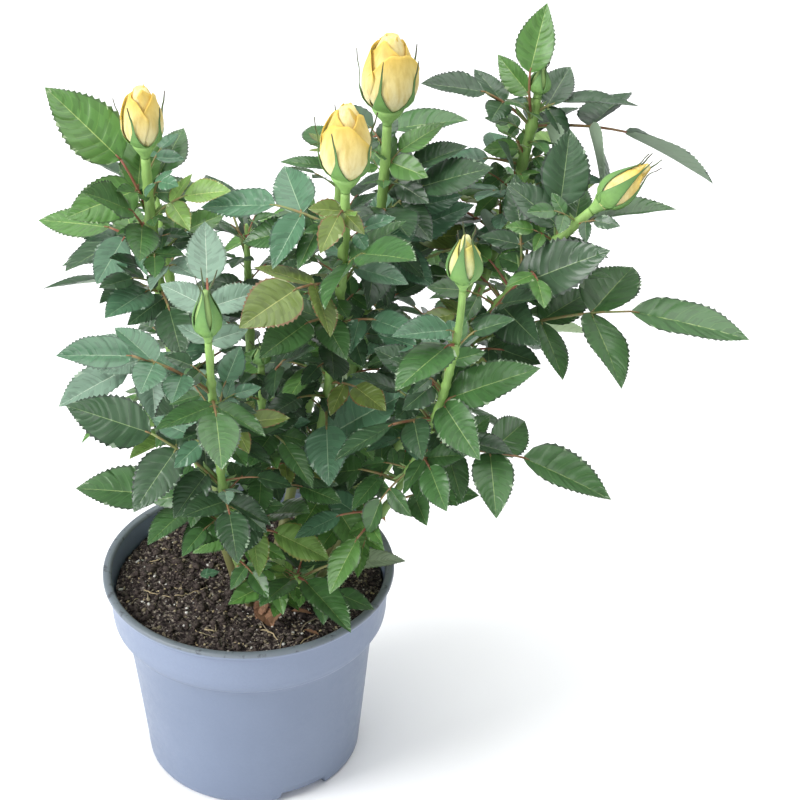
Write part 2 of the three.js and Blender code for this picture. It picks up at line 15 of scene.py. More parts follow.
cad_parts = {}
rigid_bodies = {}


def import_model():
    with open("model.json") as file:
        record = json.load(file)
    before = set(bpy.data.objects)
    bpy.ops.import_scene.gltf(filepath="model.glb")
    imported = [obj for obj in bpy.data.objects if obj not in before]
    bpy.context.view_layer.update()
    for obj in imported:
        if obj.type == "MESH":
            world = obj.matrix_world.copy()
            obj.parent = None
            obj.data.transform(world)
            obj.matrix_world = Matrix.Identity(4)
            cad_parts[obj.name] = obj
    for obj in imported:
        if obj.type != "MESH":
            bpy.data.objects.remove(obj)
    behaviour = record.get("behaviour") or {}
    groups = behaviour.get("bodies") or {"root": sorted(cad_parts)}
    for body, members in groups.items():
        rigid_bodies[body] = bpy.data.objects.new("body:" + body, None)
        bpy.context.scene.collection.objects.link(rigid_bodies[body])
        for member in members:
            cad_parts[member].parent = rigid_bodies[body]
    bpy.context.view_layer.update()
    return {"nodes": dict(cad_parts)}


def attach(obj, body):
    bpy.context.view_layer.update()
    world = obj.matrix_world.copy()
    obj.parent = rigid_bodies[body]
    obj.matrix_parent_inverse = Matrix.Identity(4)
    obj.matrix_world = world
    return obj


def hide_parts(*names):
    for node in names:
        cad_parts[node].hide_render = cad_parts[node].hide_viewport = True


for leftover in list(bpy.data.objects):
    bpy.data.objects.remove(leftover)
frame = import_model()
NODES = frame["nodes"]

# ---- the source's named values

GAP = 0.3
SOIL_TOP = 90.0
ROOT, CROWN, ROOT_SPREAD = (12.0, -4.0), (45.0, 0.0), 0.2
SIDE_ANGLE, SIDE_LENGTHS, SIDE_STEPS = 64.0, (0.8, 0.64), (0.34, 0.78)
WIDTH, FOLD, DROOP, BOW = 0.6, 0.3, 0.1, 0.1
STRAY = {"turn": 16, "angle": 9, "roll": 14, "lift": 0.16, "length": 0.09}
TILT, FRONT = 0.42, -90.0
GROW_PITCH, GROW_SWAY, GROW_BLADE, GOLDEN = (-34, 16), 12, 0.6, 0.618034
LEAF_PLACES = [
    (0, 0), (4, 3), (-4, 3), (4, -4), (-4, -4), (8, 5), (-8, 5), (8, -7), (-8, -7),
    (18, 0), (-18, 0), (14, 14), (-14, 14), (28, -8), (-28, -8),
]

# name: tip, bend, enter, bud (length, width, form), grow (count, from, to, azimuth, fan, reach)
SHOOTS = {
    "left": ((-35, -5, 302), (0.95, 0.5), 0.36, (31.5, 17, "open"), (5, 0.42, 0.84, -70, 300, 48)),
    "middle": ((45, -25, 297.5), (0.9, 0.45), 0.24, (38.5, 21, "open"), (8, 0.3, 0.84, -80, 280, 46)),
    "tall": ((61, 25, 302.5), (0.9, 0.45), 0.26, (40.5, 23.5, "open"), (7, 0.32, 0.84, -40, 280, 48)),
    "right": ((144, 0, 277), (0.55, 0.75), 0.26, (31, 13.5, "half"), (4, 0.34, 0.86, 60, 240, 48)),
    "front_right": ((91, -55, 271), (0.95, 0.5), 0.2, (25, 13.5, "half"), (5, 0.3, 0.8, -150, 220, 44)),
    "front_left": ((-7, -70, 256), (0.9, 0.45), 0.2, (24, 10.5, "green"), (3, 0.34, 0.74, -30, 200, 42)),
    "far_right": ((123, 45, 306), (0.85, 0.5), 0.34, (14, 8.5, "green"), (4, 0.4, 0.9, 70, 240, 50)),
    "small": ((11, -40, 227), (0.9, 0.5), 0.2, (9, 7, "green"), (4, 0.3, 0.84, -50, 240, 40)),
    "back_left": ((-40, 62, 262), (0.8, 0.5), 0.24, None, (10, 0.27, 1, 120, 250, 54)),
    "back": ((42, 95, 272), (0.8, 0.5), 0.24, None, (11, 0.27, 1, 90, 260, 54)),
    "back_right": ((116, 88, 242), (0.75, 0.6), 0.24, None, (10, 0.27, 1, 40, 240, 56)),
    "inner": ((2, 26, 256), (0.85, 0.5), 0.28, None, (10, 0.32, 1, 90, 360, 46)),
    "basal": ((24, -40, 122), (0.8, 0.6), 0.3, None, (1, 0.6, 0.9, 100, 120, 26)),
}
OWN_FEET = {"small": (4.5, -10.5), "basal": (13, -18.5)}

# (share up the shoot, azimuth, pitch, reach, length of end leaflet, leaflets)
LEADING_LEAVES = {
    "left": [
        (0.86, 166, 54, 70, 41, 3), (0.87, 178, -52, 41, 27, 3), (0.89, 60, 44, 40, 25, 3),
        (0.87, -10, 26, 39, 20, 3), (0.72, -137, 53, 31, 18, 3), (0.71, -119, 14, 39, 29, 1),
        (0.8, -146, 51, 56, 30, 3), (0.77, 46, 23, 35, 18, 3), (0.44, 156, -16, 23, 20, 3),
        (0.6, 34, 17, 33, 22, 3),
    ],
    "middle": [
        (0.92, 164, 4, 62, 33, 3), (0.97, -116, -23, 23, 18, 3), (0.84, -52, 32, 54, 35, 3),
        (0.81, -119, 17, 62, 33, 3), (0.36, -48, 59, 76, 52, 3), (0.28, 8, 29, 35, 29, 3),
        (0.91, 170, -7, 43, 24, 3), (0.66, -152, 31, 40, 34, 3),
    ],
    "tall": [
        (0.91, 25, 35, 33, 23, 3), (0.86, 11, 32, 42, 25, 3), (0.83, -73, 18, 43, 37, 3),
        (0.73, 5, 33, 49, 34, 3), (0.81, -9, 37, 55, 32, 3), (0.66, -29, 31, 70, 19, 3),
        (0.95, 129, 37, 29, 18, 3), (0.77, -53, -56, 29, 18, 3), (0.54, -126, 70, 31, 18, 3),
        (0.58, 14, 36, 41, 20, 3),
    ],
    "right": [
        (0.61, -17, 39, 66, 44, 3), (0.54, -12, 11, 120, 49, 5), (0.87, 2, 22, 51, 34, 3),
        (0.76, -104, 47, 49, 34, 1), (0.59, -46, 40, 43, 24, 3), (0.52, -28, 9, 37, 18, 3),
        (0.87, 77, 58, 47, 33, 3), (0.74, 91, 62, 44, 23, 3),
    ],
    "front_right": [
        (0.86, -124, 5, 42, 36, 1), (0.55, -11, -7, 82, 40, 5), (0.68, -7, 32, 46, 39, 3),
        (0.84, -17, 41, 31, 18, 1), (0.89, -154, 15, 29, 25, 1), (0.37, -16, 19, 42, 21, 3),
        (0.72, 169, 34, 34, 21, 3), (0.49, -164, -57, 35, 18, 3),
    ],
    "front_left": [
        (0.84, -81, 0, 45, 30, 3), (0.86, -162, 27, 67, 29, 5), (0.89, 95, 43, 69, 30, 3),
        (0.56, 175, 30, 73, 36, 5), (0.4, -174, 25, 67, 36, 5), (0.69, 10, 24, 31, 20, 3),
        (0.78, 55, 8, 31, 18, 3),
    ],
    "far_right": [
        (0.95, 59, 70, 52, 29, 3), (0.94, -169, 34, 55, 28, 3), (0.94, 2, -16, 84, 45, 5),
        (0.97, 7, 5, 45, 33, 3), (0.81, -123, 67, 31, 21, 3), (0.87, 114, 36, 29, 18, 3),
        (0.78, -116, 29, 41, 18, 3), (0.86, 170, -1, 44, 30, 3), (0.66, -101, 72, 34, 21, 3),
        (0.78, 156, 7, 31, 18, 3),
    ],
    "small": [
        (0.38, -156, -14, 33, 23, 3), (0.33, -62, 49, 47, 31, 3), (0.87, -39, 53, 47, 20, 3),
        (0.6, -13, -3, 33, 23, 3), (0.6, -89, -1, 33, 21, 3), (0.66, 40, 46, 43, 24, 3),
        (0.66, -178, -56, 35, 18, 3),
    ],
    "basal": [
        (0.77, -142, 9, 35, 18, 3), (0.95, -51, -6, 38, 33, 3), (0.89, -102, 14, 30, 26, 1),
        (0.74, 67, 33, 31, 18, 3), (0.54, -7, 4, 38, 18, 3), (0.83, -1, 23, 50, 26, 1),
    ],
}

# ---- small tools

UP = np.array([0.0, 0.0, 1.0])


def unit(v):
    return v / np.linalg.norm(v)


def square(v, axis):
    """The unit direction nearest to v that is square to a unit axis."""
    return unit(v - axis * np.dot(v, axis))


def around(azimuth):
    """The level direction at an azimuth in degrees."""
    a = math.radians(azimuth)
    return np.array([math.cos(a), math.sin(a), 0.0])


def heading(azimuth, pitch):
    p = math.radians(pitch)
    return math.cos(p) * around(azimuth) + math.sin(p) * UP


def lerp(a, b, t):
    return a + (b - a) * t


def seeded(seed):
    """Mulberry32, as the source draws its numbers."""
    mask = 0xFFFFFFFF
    state = seed & mask

    def draw():
        nonlocal state
        state = (state + 0x6D2B79F5) & mask
        t = ((state ^ (state >> 15)) * (state | 1)) & mask
        t ^= (t + ((t ^ (t >> 7)) * (t | 61))) & mask
        return (t ^ (t >> 14)) / 4294967296

    return draw


def turned(v, axis, degrees):
    """v turned about a unit axis."""
    c, s = math.cos(math.radians(degrees)), math.sin(math.radians(degrees))
    return v * c + np.cross(axis, v) * s + axis * np.dot(axis, v) * (1 - c)


class Sheet:
    """Collects vertices and faces of many parts that become one mesh."""

    def __init__(self):
        self.points, self.faces, self.slots, self.sharp, self.tone = [], [], [], [], []
        self.count = 0

    def add(self, points, faces, slots, sharp=None, tone=0.0):
        """faces is a list of arrays, one for each face size; slots has the same shape.
        tone is a number for each point, which a material may read."""
        for some, slot in zip(faces, slots):
            self.faces.append(np.asarray(some) + self.count)
            self.slots.append(np.broadcast_to(slot, len(some)))
        self.points.append(points)
        self.sharp.append(np.zeros(len(points), bool) if sharp is None else sharp)
        self.tone.append(np.broadcast_to(tone, len(points)))
        self.count += len(points)

    def build(self, name, materials, slot, replaces=()):
        """One object of all that was added, smooth but for edges between sharp points."""
        sizes = np.concatenate([np.full(len(f), f.shape[1]) for f in self.faces])
        corners = np.concatenate([f.ravel() for f in self.faces])
        index = np.concatenate(self.slots)
        used, index = np.unique(index, return_inverse=True)
        mesh = bpy.data.meshes.new(name)
        points = np.concatenate(self.points) * 0.001
        mesh.vertices.add(len(points))
        mesh.vertices.foreach_set("co", points.astype(np.float32).ravel())
        mesh.loops.add(len(corners))
        mesh.loops.foreach_set("vertex_index", corners.astype(np.int32))
        mesh.polygons.add(len(sizes))
        starts = np.concatenate([[0], np.cumsum(sizes)[:-1]])
        mesh.polygons.foreach_set("loop_start", starts.astype(np.int32))
        mesh.update(calc_edges=True)
        mesh.polygons.foreach_set("material_index", index.astype(np.int32))
        mesh.polygons.foreach_set("use_smooth", np.ones(len(sizes), bool))
        sharp = np.concatenate(self.sharp)
        if sharp.any():
            edges = np.zeros(len(mesh.edges) * 2, np.int32)
            mesh.edges.foreach_get("vertices", edges)
            marked = sharp[edges.reshape(-1, 2)].all(1)
            mesh.attributes.new("sharp_edge", "BOOLEAN", "EDGE").data.foreach_set("value", marked)
        tone = np.concatenate(self.tone)
        if tone.any():
            values = mesh.attributes.new("tone", "FLOAT", "POINT").data
            values.foreach_set("value", tone.astype(np.float32))
        mesh.update()
        for k in used:
            mesh.materials.append(materials[k])
        made = bpy.data.objects.new(name, mesh)
        bpy.context.scene.collection.objects.link(made)
        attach(made, "root")
        if replaces:
            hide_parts(*replaces)


def bands(rings, sides):
    """The quads between rings of points that follow each other."""
    i = np.arange(sides)
    j = (i + 1) % sides
    return np.concatenate([np.stack([i, j, j + sides, i + sides], 1) + sides * k for k in range(rings - 1)])


def tube(points, radii, sides, normal=None):
    """A round tube along points, closed at both ends: its vertices and [quads, triangles]."""
    points = np.asarray(points, float)
    radii = np.broadcast_to(radii, len(points))
    ahead = np.gradient(points, axis=0)
    ahead /= np.linalg.norm(ahead, axis=1)[:, None]
    side = np.cross(ahead[0], UP if normal is None else normal)
    if np.linalg.norm(side) < 1e-6:
        side = np.cross(ahead[0], [1.0, 0.0, 0.0])
    angle = np.arange(sides) * 2 * math.pi / sides
    rings = []
    for point, along, radius in zip(points, ahead, radii):
        side = square(side, along)
        over = np.cross(along, side)
        rings.append(point + radius * (np.cos(angle)[:, None] * side + np.sin(angle)[:, None] * over))
    last = len(points) * sides
    i = np.arange(sides)
    j = (i + 1) % sides
    foot = np.stack([np.full(sides, last), j, i], 1)
    top = np.stack([np.full(sides, last + 1), i + last - sides, j + last - sides], 1)
    vertices = np.concatenate([*rings, points[:1], points[-1:]])
    return vertices, [bands(len(points), sides), np.concatenate([foot, top])]


def patches(grid, turn):
    """The quads of a grid of point numbers; turn is -1 for those that face the other way."""
    quads = np.stack([grid[:-1, :-1], grid[:-1, 1:], grid[1:, 1:], grid[1:, :-1]], -1)
    return quads[..., ::turn].reshape(-1, 4)


def shell(top, low):
    """A closed skin between two grids of points: its vertices and [quads]."""
    n, m = top.shape[:2]
    up = np.arange(n * m).reshape(n, m)
    quads = [patches(up, 1), patches(up + n * m, -1)]
    rim = np.concatenate([up[0, :-1], up[:-1, -1], up[-1, :0:-1], up[:0:-1, 0]])
    foot = rim + n * m
    quads.append(np.stack([rim, foot, np.roll(foot, -1), np.roll(rim, -1)], -1))
    return np.concatenate([top.reshape(-1, 3), low.reshape(-1, 3)]), [np.concatenate(quads)]


# ---- the rule: shoots and leaves


class Line:
    """A shoot's curve, a quadratic Bezier in an upright plane."""

    def __init__(self, name):
        tip, (out, up), self.enter, self.bud, self.grow = SHOOTS[name]
        self.name = name
        tip = np.array(tip, float)
        own = [ROOT[k] + ROOT_SPREAD * (tip[k] - CROWN[k]) for k in (0, 1)]
        foot = np.array([*OWN_FEET.get(name, own), SOIL_TOP + GAP])
        bend = np.array([*lerp(foot[:2], tip[:2], out), lerp(foot[2], tip[2], up)])
        self.corners = foot, bend, tip
        self.side = unit(np.cross(UP, tip - foot))

    def point(self, t):
        a, b, c = self.corners
        t = np.asarray(t, float)[..., None]
        return (1 - t) ** 2 * a + 2 * t * (1 - t) * b + t**2 * c

    def direction(self, t):
        a, b, c = self.corners
        return unit((1 - t) * (b - a) + t * (c - b))


class Leaf:
    """The plan of a compound leaf, as the source lays it out."""

    def __init__(self, foot, azimuth, pitch, reach, blade, leaflets, facing, seed):
        random = seeded(seed)

        def sway(size):
            return size * (2 * random() - 1)

        self.foot, self.reach, self.blade = foot, reach, blade
        self.chord = heading(azimuth, pitch)
        self.rise = heading(azimuth, pitch + 90)
        self.end = 1 - blade / reach
        ahead = unit(self.point(1) - self.point(self.end))
        upper = square(TILT * around(facing) + UP, ahead)
        upper = turned(upper, ahead, sway(STRAY["turn"]))
        across = np.cross(upper, ahead)
        self.upper = upper
        self.leaflets = [(0, None, self.point(self.end), ahead, upper, blade)]
        self.seats = []
        for pair in range((leaflets - 1) // 2):
            back = min(SIDE_STEPS[pair] * blade / reach, self.end * (0.55 + 0.3 * pair))
            seat = self.end - back
            self.seats.append(seat)
            for hand in (-1, 1):
                angle = math.radians(SIDE_ANGLE + sway(STRAY["angle"]))
                along = ahead * math.cos(angle) + across * hand * math.sin(angle)
                along = unit(along + upper * sway(STRAY["lift"]))
                normal = turned(square(upper, along), along, sway(STRAY["roll"]))
                length = blade * SIDE_LENGTHS[pair] * (1 + sway(STRAY["length"]))
                self.leaflets.append((hand, pair, self.point(seat), along, normal, length))

    def point(self, s):
        s = np.asarray(s, float)[..., None]
        return self.foot + self.chord * self.reach * s + self.rise * 4 * BOW * self.reach * s * (1 - s)


def tip_of(leaflet):
    _, _, foot, along, normal, length = leaflet
    return foot + along * length - normal * DROOP * length


def leaf_rows(index, line):
    """Every leaf of a shoot: the leading ones, then those of the seeded rule."""
    rows = [(*row, FRONT) for row in LEADING_LEAVES.get(line.name, [])]
    count, start, stop, azimuth, fan, reach = line.grow
    random = seeded(1000 + index)
    for i in range(count):
        share = lerp(start, stop, (i + 0.5) / count)
        turn = azimuth + fan * (((i + 1) * GOLDEN) % 1 - 0.5)
        pitch = lerp(*GROW_PITCH, share) + GROW_SWAY * (2 * random() - 1)
        length = reach * lerp(0.9, 1.15, random())
        rows.append((share, turn, pitch, length, length * GROW_BLADE, 3, azimuth))
    return rows


SAME_PLACE = 0.05  # between a leaflet's tip by the rule and the solid's corner there


def tree_of(node):
    """The corners of a CAD node, in millimetres, for finding the nearest."""
    vertices = NODES[node].data.vertices
    tree = kdtree.KDTree(len(vertices))
    for v in vertices:
        tree.insert(v.co * 1000, v.index)
    tree.balance()
    return tree


def kept_leaf(line, row, seed, tree):
    """The leaf as the solid holds it: its place, and which leaflets it kept there. Or None."""
    share, azimuth, pitch, *sizes = row
    for turn, lift in LEAF_PLACES:
        leaf = Leaf(line.point(share), azimuth + turn, pitch + lift, *sizes, seed)
        found = [tree.find(tip_of(one))[2] < SAME_PLACE for one in leaf.leaflets]
        if found[0]:
            leaf.kept = [one for one, there in zip(leaf.leaflets, found) if there]
            leaf.share = share
            return leaf
    return None


# Two leaves of the solids, by shoot and number, that stand where the real bush is open.
OPEN_SKY = {("back", 10), ("back_left", 9)}
LINES = {name: Line(name) for name in SHOOTS}
leaves = []
for index, line in enumerate(LINES.values()):
    tree = tree_of("foliage_" + line.name)
    for number, row in enumerate(leaf_rows(index, line)):
        leaf = kept_leaf(line, row, 100 * index + number, tree)
        if leaf and (line.name, number) not in OPEN_SKY:
            leaf.line, leaf.number, leaf.index = line, number, index
            leaves.append(leaf)

# ---- materials


def linear(red, green, blue):
    """A colour given as it shows on a screen, 0 to 255, as Blender keeps it."""
    share = np.array([red, green, blue]) / 255
    return (*np.where(share > 0.04045, ((share + 0.055) / 1.055) ** 2.4, share / 12.92), 1.0)


def plain(name, colour, roughness, specular=0.5):
    """A material of one base colour."""
    made = bpy.data.materials.new(name)
    made.use_nodes = True
    shader = made.node_tree.nodes["Principled BSDF"]
    shader.inputs["Base Color"].default_value = linear(*colour)
    shader.inputs["Roughness"].default_value = roughness
    shader.inputs["Specular IOR Level"].default_value = specular
    made.diffuse_color = linear(*colour)
    return made


class Nodes:
    """A short hand for a patterned material."""

    def __init__(self, name, roughness=0.5, specular=0.5):
        self.material = bpy.data.materials.new(name)
        self.material.use_nodes = True
        self.tree = self.material.node_tree
        self.shader = self.tree.nodes["Principled BSDF"]
        self.shader.inputs["Roughness"].default_value = roughness
        self.shader.inputs["Specular IOR Level"].default_value = specular
        self.place = self.add("ShaderNodeTexCoord").outputs["Object"]

    def add(self, kind, **values):
        node = self.tree.nodes.new(kind)
        for key, value in values.items():
            setattr(node, key, value)
        return node

    def link(self, source, target):
        self.tree.links.new(source, target)

    def noise(self, scale, detail=4.0, roughness=0.55, stretch=(1, 1, 1)):
        """Noise in object space; scale is in features to the metre."""
        mapping = self.add("ShaderNodeMapping")
        mapping.inputs["Scale"].default_value = stretch
        self.link(self.place, mapping.inputs["Vector"])
        node = self.add("ShaderNodeTexNoise")
        node.inputs["Scale"].default_value = scale
        node.inputs["Detail"].default_value = detail
        node.inputs["Roughness"].default_value = roughness
        self.link(mapping.outputs["Vector"], node.inputs["Vector"])
        return node.outputs["Fac"]

    def ramp(self, value, *stops):
        """A value through stops of (place, colour)."""
        node = self.add("ShaderNodeValToRGB")
        band = node.color_ramp
        while len(band.elements) < len(stops):
            band.elements.new(0.5)
        for element, (place, colour) in zip(band.elements, stops):
            element.position = place
            element.color = linear(*colour)
        self.link(value, node.inputs["Fac"])
        return node.outputs["Color"]

    def span(self, value, low, high, start=0.0, stop=1.0):
        """A value from low to high mapped to start to stop, clamped."""
        node = self.add("ShaderNodeMapRange")
        for key, number in zip(("From Min", "From Max", "To Min", "To Max"), (low, high, start, stop)):
            node.inputs[key].default_value = number
        self.link(value, node.inputs["Value"])
        return node.outputs["Result"]

    def tone(self):
        """The number that each point of the mesh carries."""
        return self.add("ShaderNodeAttribute", attribute_name="tone").outputs["Fac"]

    def height(self):
        """The height over the pot's underside, in metres."""
        node = self.add("ShaderNodeSeparateXYZ")
        self.link(self.place, node.inputs["Vector"])
        return node.outputs["Z"]

    def mix(self, share, a, b):
        """Colour a turning into colour b as share, a pattern, goes from 0 to 1."""
        node = self.add("ShaderNodeMix", data_type="RGBA")
        for key, value in zip((0, 6, 7), (share, a, b)):
            if isinstance(value, tuple):
                node.inputs[key].default_value = value
            else:
                self.link(value, node.inputs[key])
        return node.outputs[2]

    def colour(self, value):
        self.link(value, self.shader.inputs["Base Color"])

    def rough(self, value):
        self.link(value, self.shader.inputs["Roughness"])

    def bump(self, value, distance, strength=1.0):
        node = self.add("ShaderNodeBump")
        node.inputs["Distance"].default_value = distance
        node.inputs["Strength"].default_value = strength
        self.link(value, node.inputs["Height"])
        self.link(node.outputs["Normal"], self.shader.inputs["Normal"])


def streaked(name, finish, grain, stops, share, streak, relief):
    """A skin whose colour follows the tone, with streaks of another colour that stand in relief."""
    made = Nodes(name, *finish)
    pattern = made.noise(*grain)
    hue = made.ramp(made.tone(), *stops)
    made.colour(made.mix(made.span(pattern, *share), hue, linear(*streak)))
    made.bump(pattern, *relief)
    return made


# A spray's greens: upper face, midrib, underside and rim, and the gloss. The hollows are darker
# than the face, and the side veins, which are its crests, lighter.
SPRAYS = {
    "deep": ((54, 84, 54), (118, 142, 96), (128, 148, 124), (40, 58, 42), 0.34),
    "green": ((64, 104, 54), (130, 156, 92), (138, 158, 128), (48, 72, 44), 0.38),
    "fresh": ((84, 128, 60), (156, 182, 104), (150, 172, 130), (66, 96, 50), 0.42),
    # This spray's bluish greens are painted reflection: the sky's soft sheen on glossy leaves, laid into the
    # base colour.
    "sheen": ((78, 118, 88), (140, 168, 134), (140, 162, 142), (58, 86, 66), 0.34),
    "grey": ((116, 144, 124), (172, 190, 168), (156, 176, 156), (96, 118, 100), 0.5),
    "olive": ((106, 126, 58), (168, 176, 100), (160, 172, 124), (120, 92, 58), 0.42),
    "young": ((116, 152, 74), (180, 198, 120), (166, 186, 138), (126, 128, 66), 0.42),
    "pale": ((176, 190, 166), (196, 206, 180), (96, 124, 84), (140, 146, 124), 0.6),
    "dry": ((142, 104, 78), (170, 132, 100), (158, 122, 96), (104, 72, 54), 0.8),
}
SPRAY_NAMES = list(SPRAYS)
PARTS = ("face", "hollow", "crest", "midrib", "under", "rim")
FACE, HOLLOW, CREST, MIDRIB, UNDER, RIM = range(len(PARTS))
UNDER_ROUGHNESS, LEAF_SPECULAR = 0.66, 0.55
GREENS = []
for spray, (face, midrib, under, rim, gloss) in SPRAYS.items():
    hollow = [0.91 * c for c in face]
    crest = [lerp(c, d, 0.3) for c, d in zip(face, midrib)]
    for part, colour in zip(PARTS, (face, hollow, crest, midrib, under, rim)):
        rough = UNDER_ROUGHNESS if part == "under" else gloss
        GREENS.append(plain(f"leaf {spray} {part}", colour, rough, LEAF_SPECULAR))

# ---- leaflets


FIRST_VEIN, LAST_VEIN, TIP_ROW = 0.03, 0.95, 0.972
# The rows from one side vein to the next: place between the two, side of the vein's crest, how
# far the margin's tooth stands out there and how far the panel between the veins bulges.
VEIN_ROWS = ((0, -1, 0.55, 0), (0, 1, 1, 0), (0.36, 0, 0, 0.72), (0.6, 0, 0.9, 1), (0.84, 0, 0.05, 0.7))
# Shares of a leaflet's length: the bulge, its unevenness, the groove along the midrib, the
# thickness and the rib under the midrib.
BULGE, CRUMPLE, GROOVE, THICKNESS, RIB = 0.0104, 0.0024, 0.012, 0.011, 0.016


def half_width(t):
    """The half width of a leaflet at a share of its length, as a share of the widest."""
    return (t / 0.378) ** 0.62 * ((1 - t) / 0.622) ** 1.02


class BladePattern:
    """The grid of a leaflet: rows that run out along the side veins, columns along the midrib."""

    def __init__(self, veins, outs, unders):
        self.outs = np.array([-x for x in outs[::-1]] + list(outs))
        stops = [lerp(FIRST_VEIN, LAST_VEIN, (k / veins) ** 0.94) for k in range(veins + 1)]
        rows = [(0, 0, 0, 0)]
        for low, high in zip(stops, stops[1:]):
            rows += [(lerp(low, high, place), *rest) for place, *rest in VEIN_ROWS]
        rows.append((TIP_ROW, 0, 0.3, 0))
        self.v, self.edge, self.tooth, self.panel = np.array(rows).T[:, :, None]
        n, m = len(rows), len(self.outs)
        self.under = np.array(unders)
        top = np.arange(n * m).reshape(n, m)
        inner = np.arange(n * (len(unders) - 2)).reshape(n, -1) + n * m
        low = np.concatenate([top[:, :1], inner, top[:, -1:]], 1)
        tip = n * m + inner.size
        self.quads, self.tips, self.slots, self.tip_slots = [], [], [], []
        for grid, turn in ((top, 1), (low, -1)):
            self.quads.append(patches(grid, turn))
            plain_slot = FACE if turn == 1 else UNDER
            slots = np.full((n - 1, grid.shape[1] - 1), plain_slot)
            if turn == 1:
                slots[np.arange(n - 1) % len(VEIN_ROWS) == 1, 1:-1] = CREST
                slots[:, (m - 1) // 2] = MIDRIB
                slots[:, [0, -1]] = RIM
            self.slots.append(slots.ravel())
            ends = np.stack([grid[-1, :-1], grid[-1, 1:], np.full(grid.shape[1] - 1, tip)], -1)
            self.tips.append(ends[..., ::turn])
            self.tip_slots.append(np.full(len(ends), plain_slot))
        self.quads, self.slots = np.concatenate(self.quads), np.concatenate(self.slots)
        self.tips, self.tip_slots = np.concatenate(self.tips), np.concatenate(self.tip_slots)
        self.sharp = np.zeros(tip + 1, bool)
        self.sharp[top[:, [0, -1]].ravel()] = True
        self.sharp[tip] = True
        self.veins = veins
        self.grain = n - 1, m - 1

    def mottled(self, deal):
        """The slots, with small hollows dealt over the face."""
        field = deal.standard_normal(self.grain)
        field[1:] += 0.5 * field[:-1]
        field[:, 1:] += 0.4 * field[:, :-1]
        low = (field < -0.5).ravel()
        slots = self.slots.copy()
        upper = slots[: len(low)]
        upper[(upper == FACE) & low] = HOLLOW
        return slots

    def points(self, length, width, fold, droop, teeth, draw, deal):
        """The corners in the leaflet's own axes: across, along and up."""
        half = length * width / 2
        wave, phase = 0.03 * length * draw(), 6.28 * draw()
        twist, curl = 0.5 * (draw() - 0.5), 0.5 * draw()
        puff = np.repeat(deal.uniform(0.1, 1.7, (self.veins, 2)), len(VEIN_ROWS), 0)
        puff = np.pad(puff, ((1, 1), (0, 0)), constant_values=1)[:, (self.outs > 0).astype(int)]

        def surface(out, toothed):
            reach = np.abs(out)
            margin = 1 - (1 - self.v) ** 1.75
            t = lerp(self.v, margin, reach**1.25)
            t = t + self.edge * 0.0028 * (1 - 0.75 * reach)
            t = np.clip(t, 0.004, 0.995)
            form = half_width(t)
            x = half * form * out
            if toothed:
                jag = self.tooth * teeth * length * np.clip(form * 1.2, 0, 1) * (reach == 1)
                x = x + np.sign(out) * jag
                t = t + 0.7 * jag / length
            share = np.abs(x) / half
            z = fold * half * share - curl * fold * half * share**3
            z = z - droop * length * t**2
            z = z + twist * x * t
            z = z + wave * np.sin(phase + 9 * t + np.sign(x)) * share**2
            return x, t * length, z, reach, form

        x, y, z, reach, form = surface(self.outs, True)
        z = z + BULGE * length * puff * self.panel * reach * (1 - reach**3) * np.clip(form, 0, 1)
        z[:, 1:-1] += deal.normal(0, CRUMPLE * length, z[:, 1:-1].shape)
        z = z - GROOVE * length * np.exp(-((reach / 0.1) ** 2)) * np.clip(form, 0, 1)
        top = np.stack([x, y, z], -1)
        x, y, z, reach, form = surface(self.under[1:-1], False)
        z = z - THICKNESS * length * (1 - reach**2) * np.clip(form * 1.5, 0.15, 1)
        z = z - RIB * length * (reach == 0) * (1 - self.v)
        low = np.stack([x, y, z], -1)
        tip = np.array([[0.0, length, -droop * length]])
        return np.concatenate([top.reshape(-1, 3), low.reshape(-1, 3), tip])


# The finer grid is for leaflets longer than the limit, in millimetres.
FINE = BladePattern(9, (0.018, 0.3, 0.64, 0.95, 1.0), (-1, -0.5, 0, 0.5, 1))
SMALL = BladePattern(4, (0.02, 0.3, 0.93, 1.0), (-1, -0.45, 0, 0.45, 1))
FINE_FROM = 19


def add_leaflet(sheet, leaflet, spray, draw, roll=0.0):
    """A leaflet of the plan, as a thin toothed blade, rolled a little about its midrib."""
    hand, _, foot, along, normal, length = leaflet
    normal = turned(normal, along, roll + 24 * (draw() - 0.5))
    pattern = FINE if length > FINE_FROM else SMALL
    width = WIDTH * lerp(0.8, 1.02, draw()) * (1 if hand == 0 else 1.03)
    teeth = lerp(0.022, 0.03, draw())
    deal = np.random.default_rng(int(draw() * 1e9))
    local = pattern.points(length, width, FOLD * lerp(0.4, 1.7, draw() ** 2), DROOP, teeth, draw, deal)
    axes = np.stack([np.cross(along, normal), along, normal])
    first = len(PARTS) * SPRAY_NAMES.index(spray)
    slots = [first + pattern.mottled(deal), first + pattern.tip_slots]
    sheet.add(foot + local @ axes, [pattern.quads, pattern.tips], slots, pattern.sharp)


# ---- finer growth in the same space


class Space:
    """Which small cells of the crown are taken, and by which leaf."""

    def __init__(self, cell):
        self.cell, self.taken = cell, {}

    def keys(self, points):
        return set(map(tuple, np.floor(np.asarray(points) / self.cell).astype(int).tolist()))

    def mark(self, points, owner):
        for key in self.keys(points):
            self.taken.setdefault(key, set()).add(owner)

    def free(self, points, owner=None):
        return all(self.taken.get(key, set()) <= {owner} for key in self.keys(points))

    def share(self, points):
        keys = self.keys(points)
        return sum(key in self.taken for key in keys) / len(keys)


STEP = 2.2  # between the points spread over a leaflet


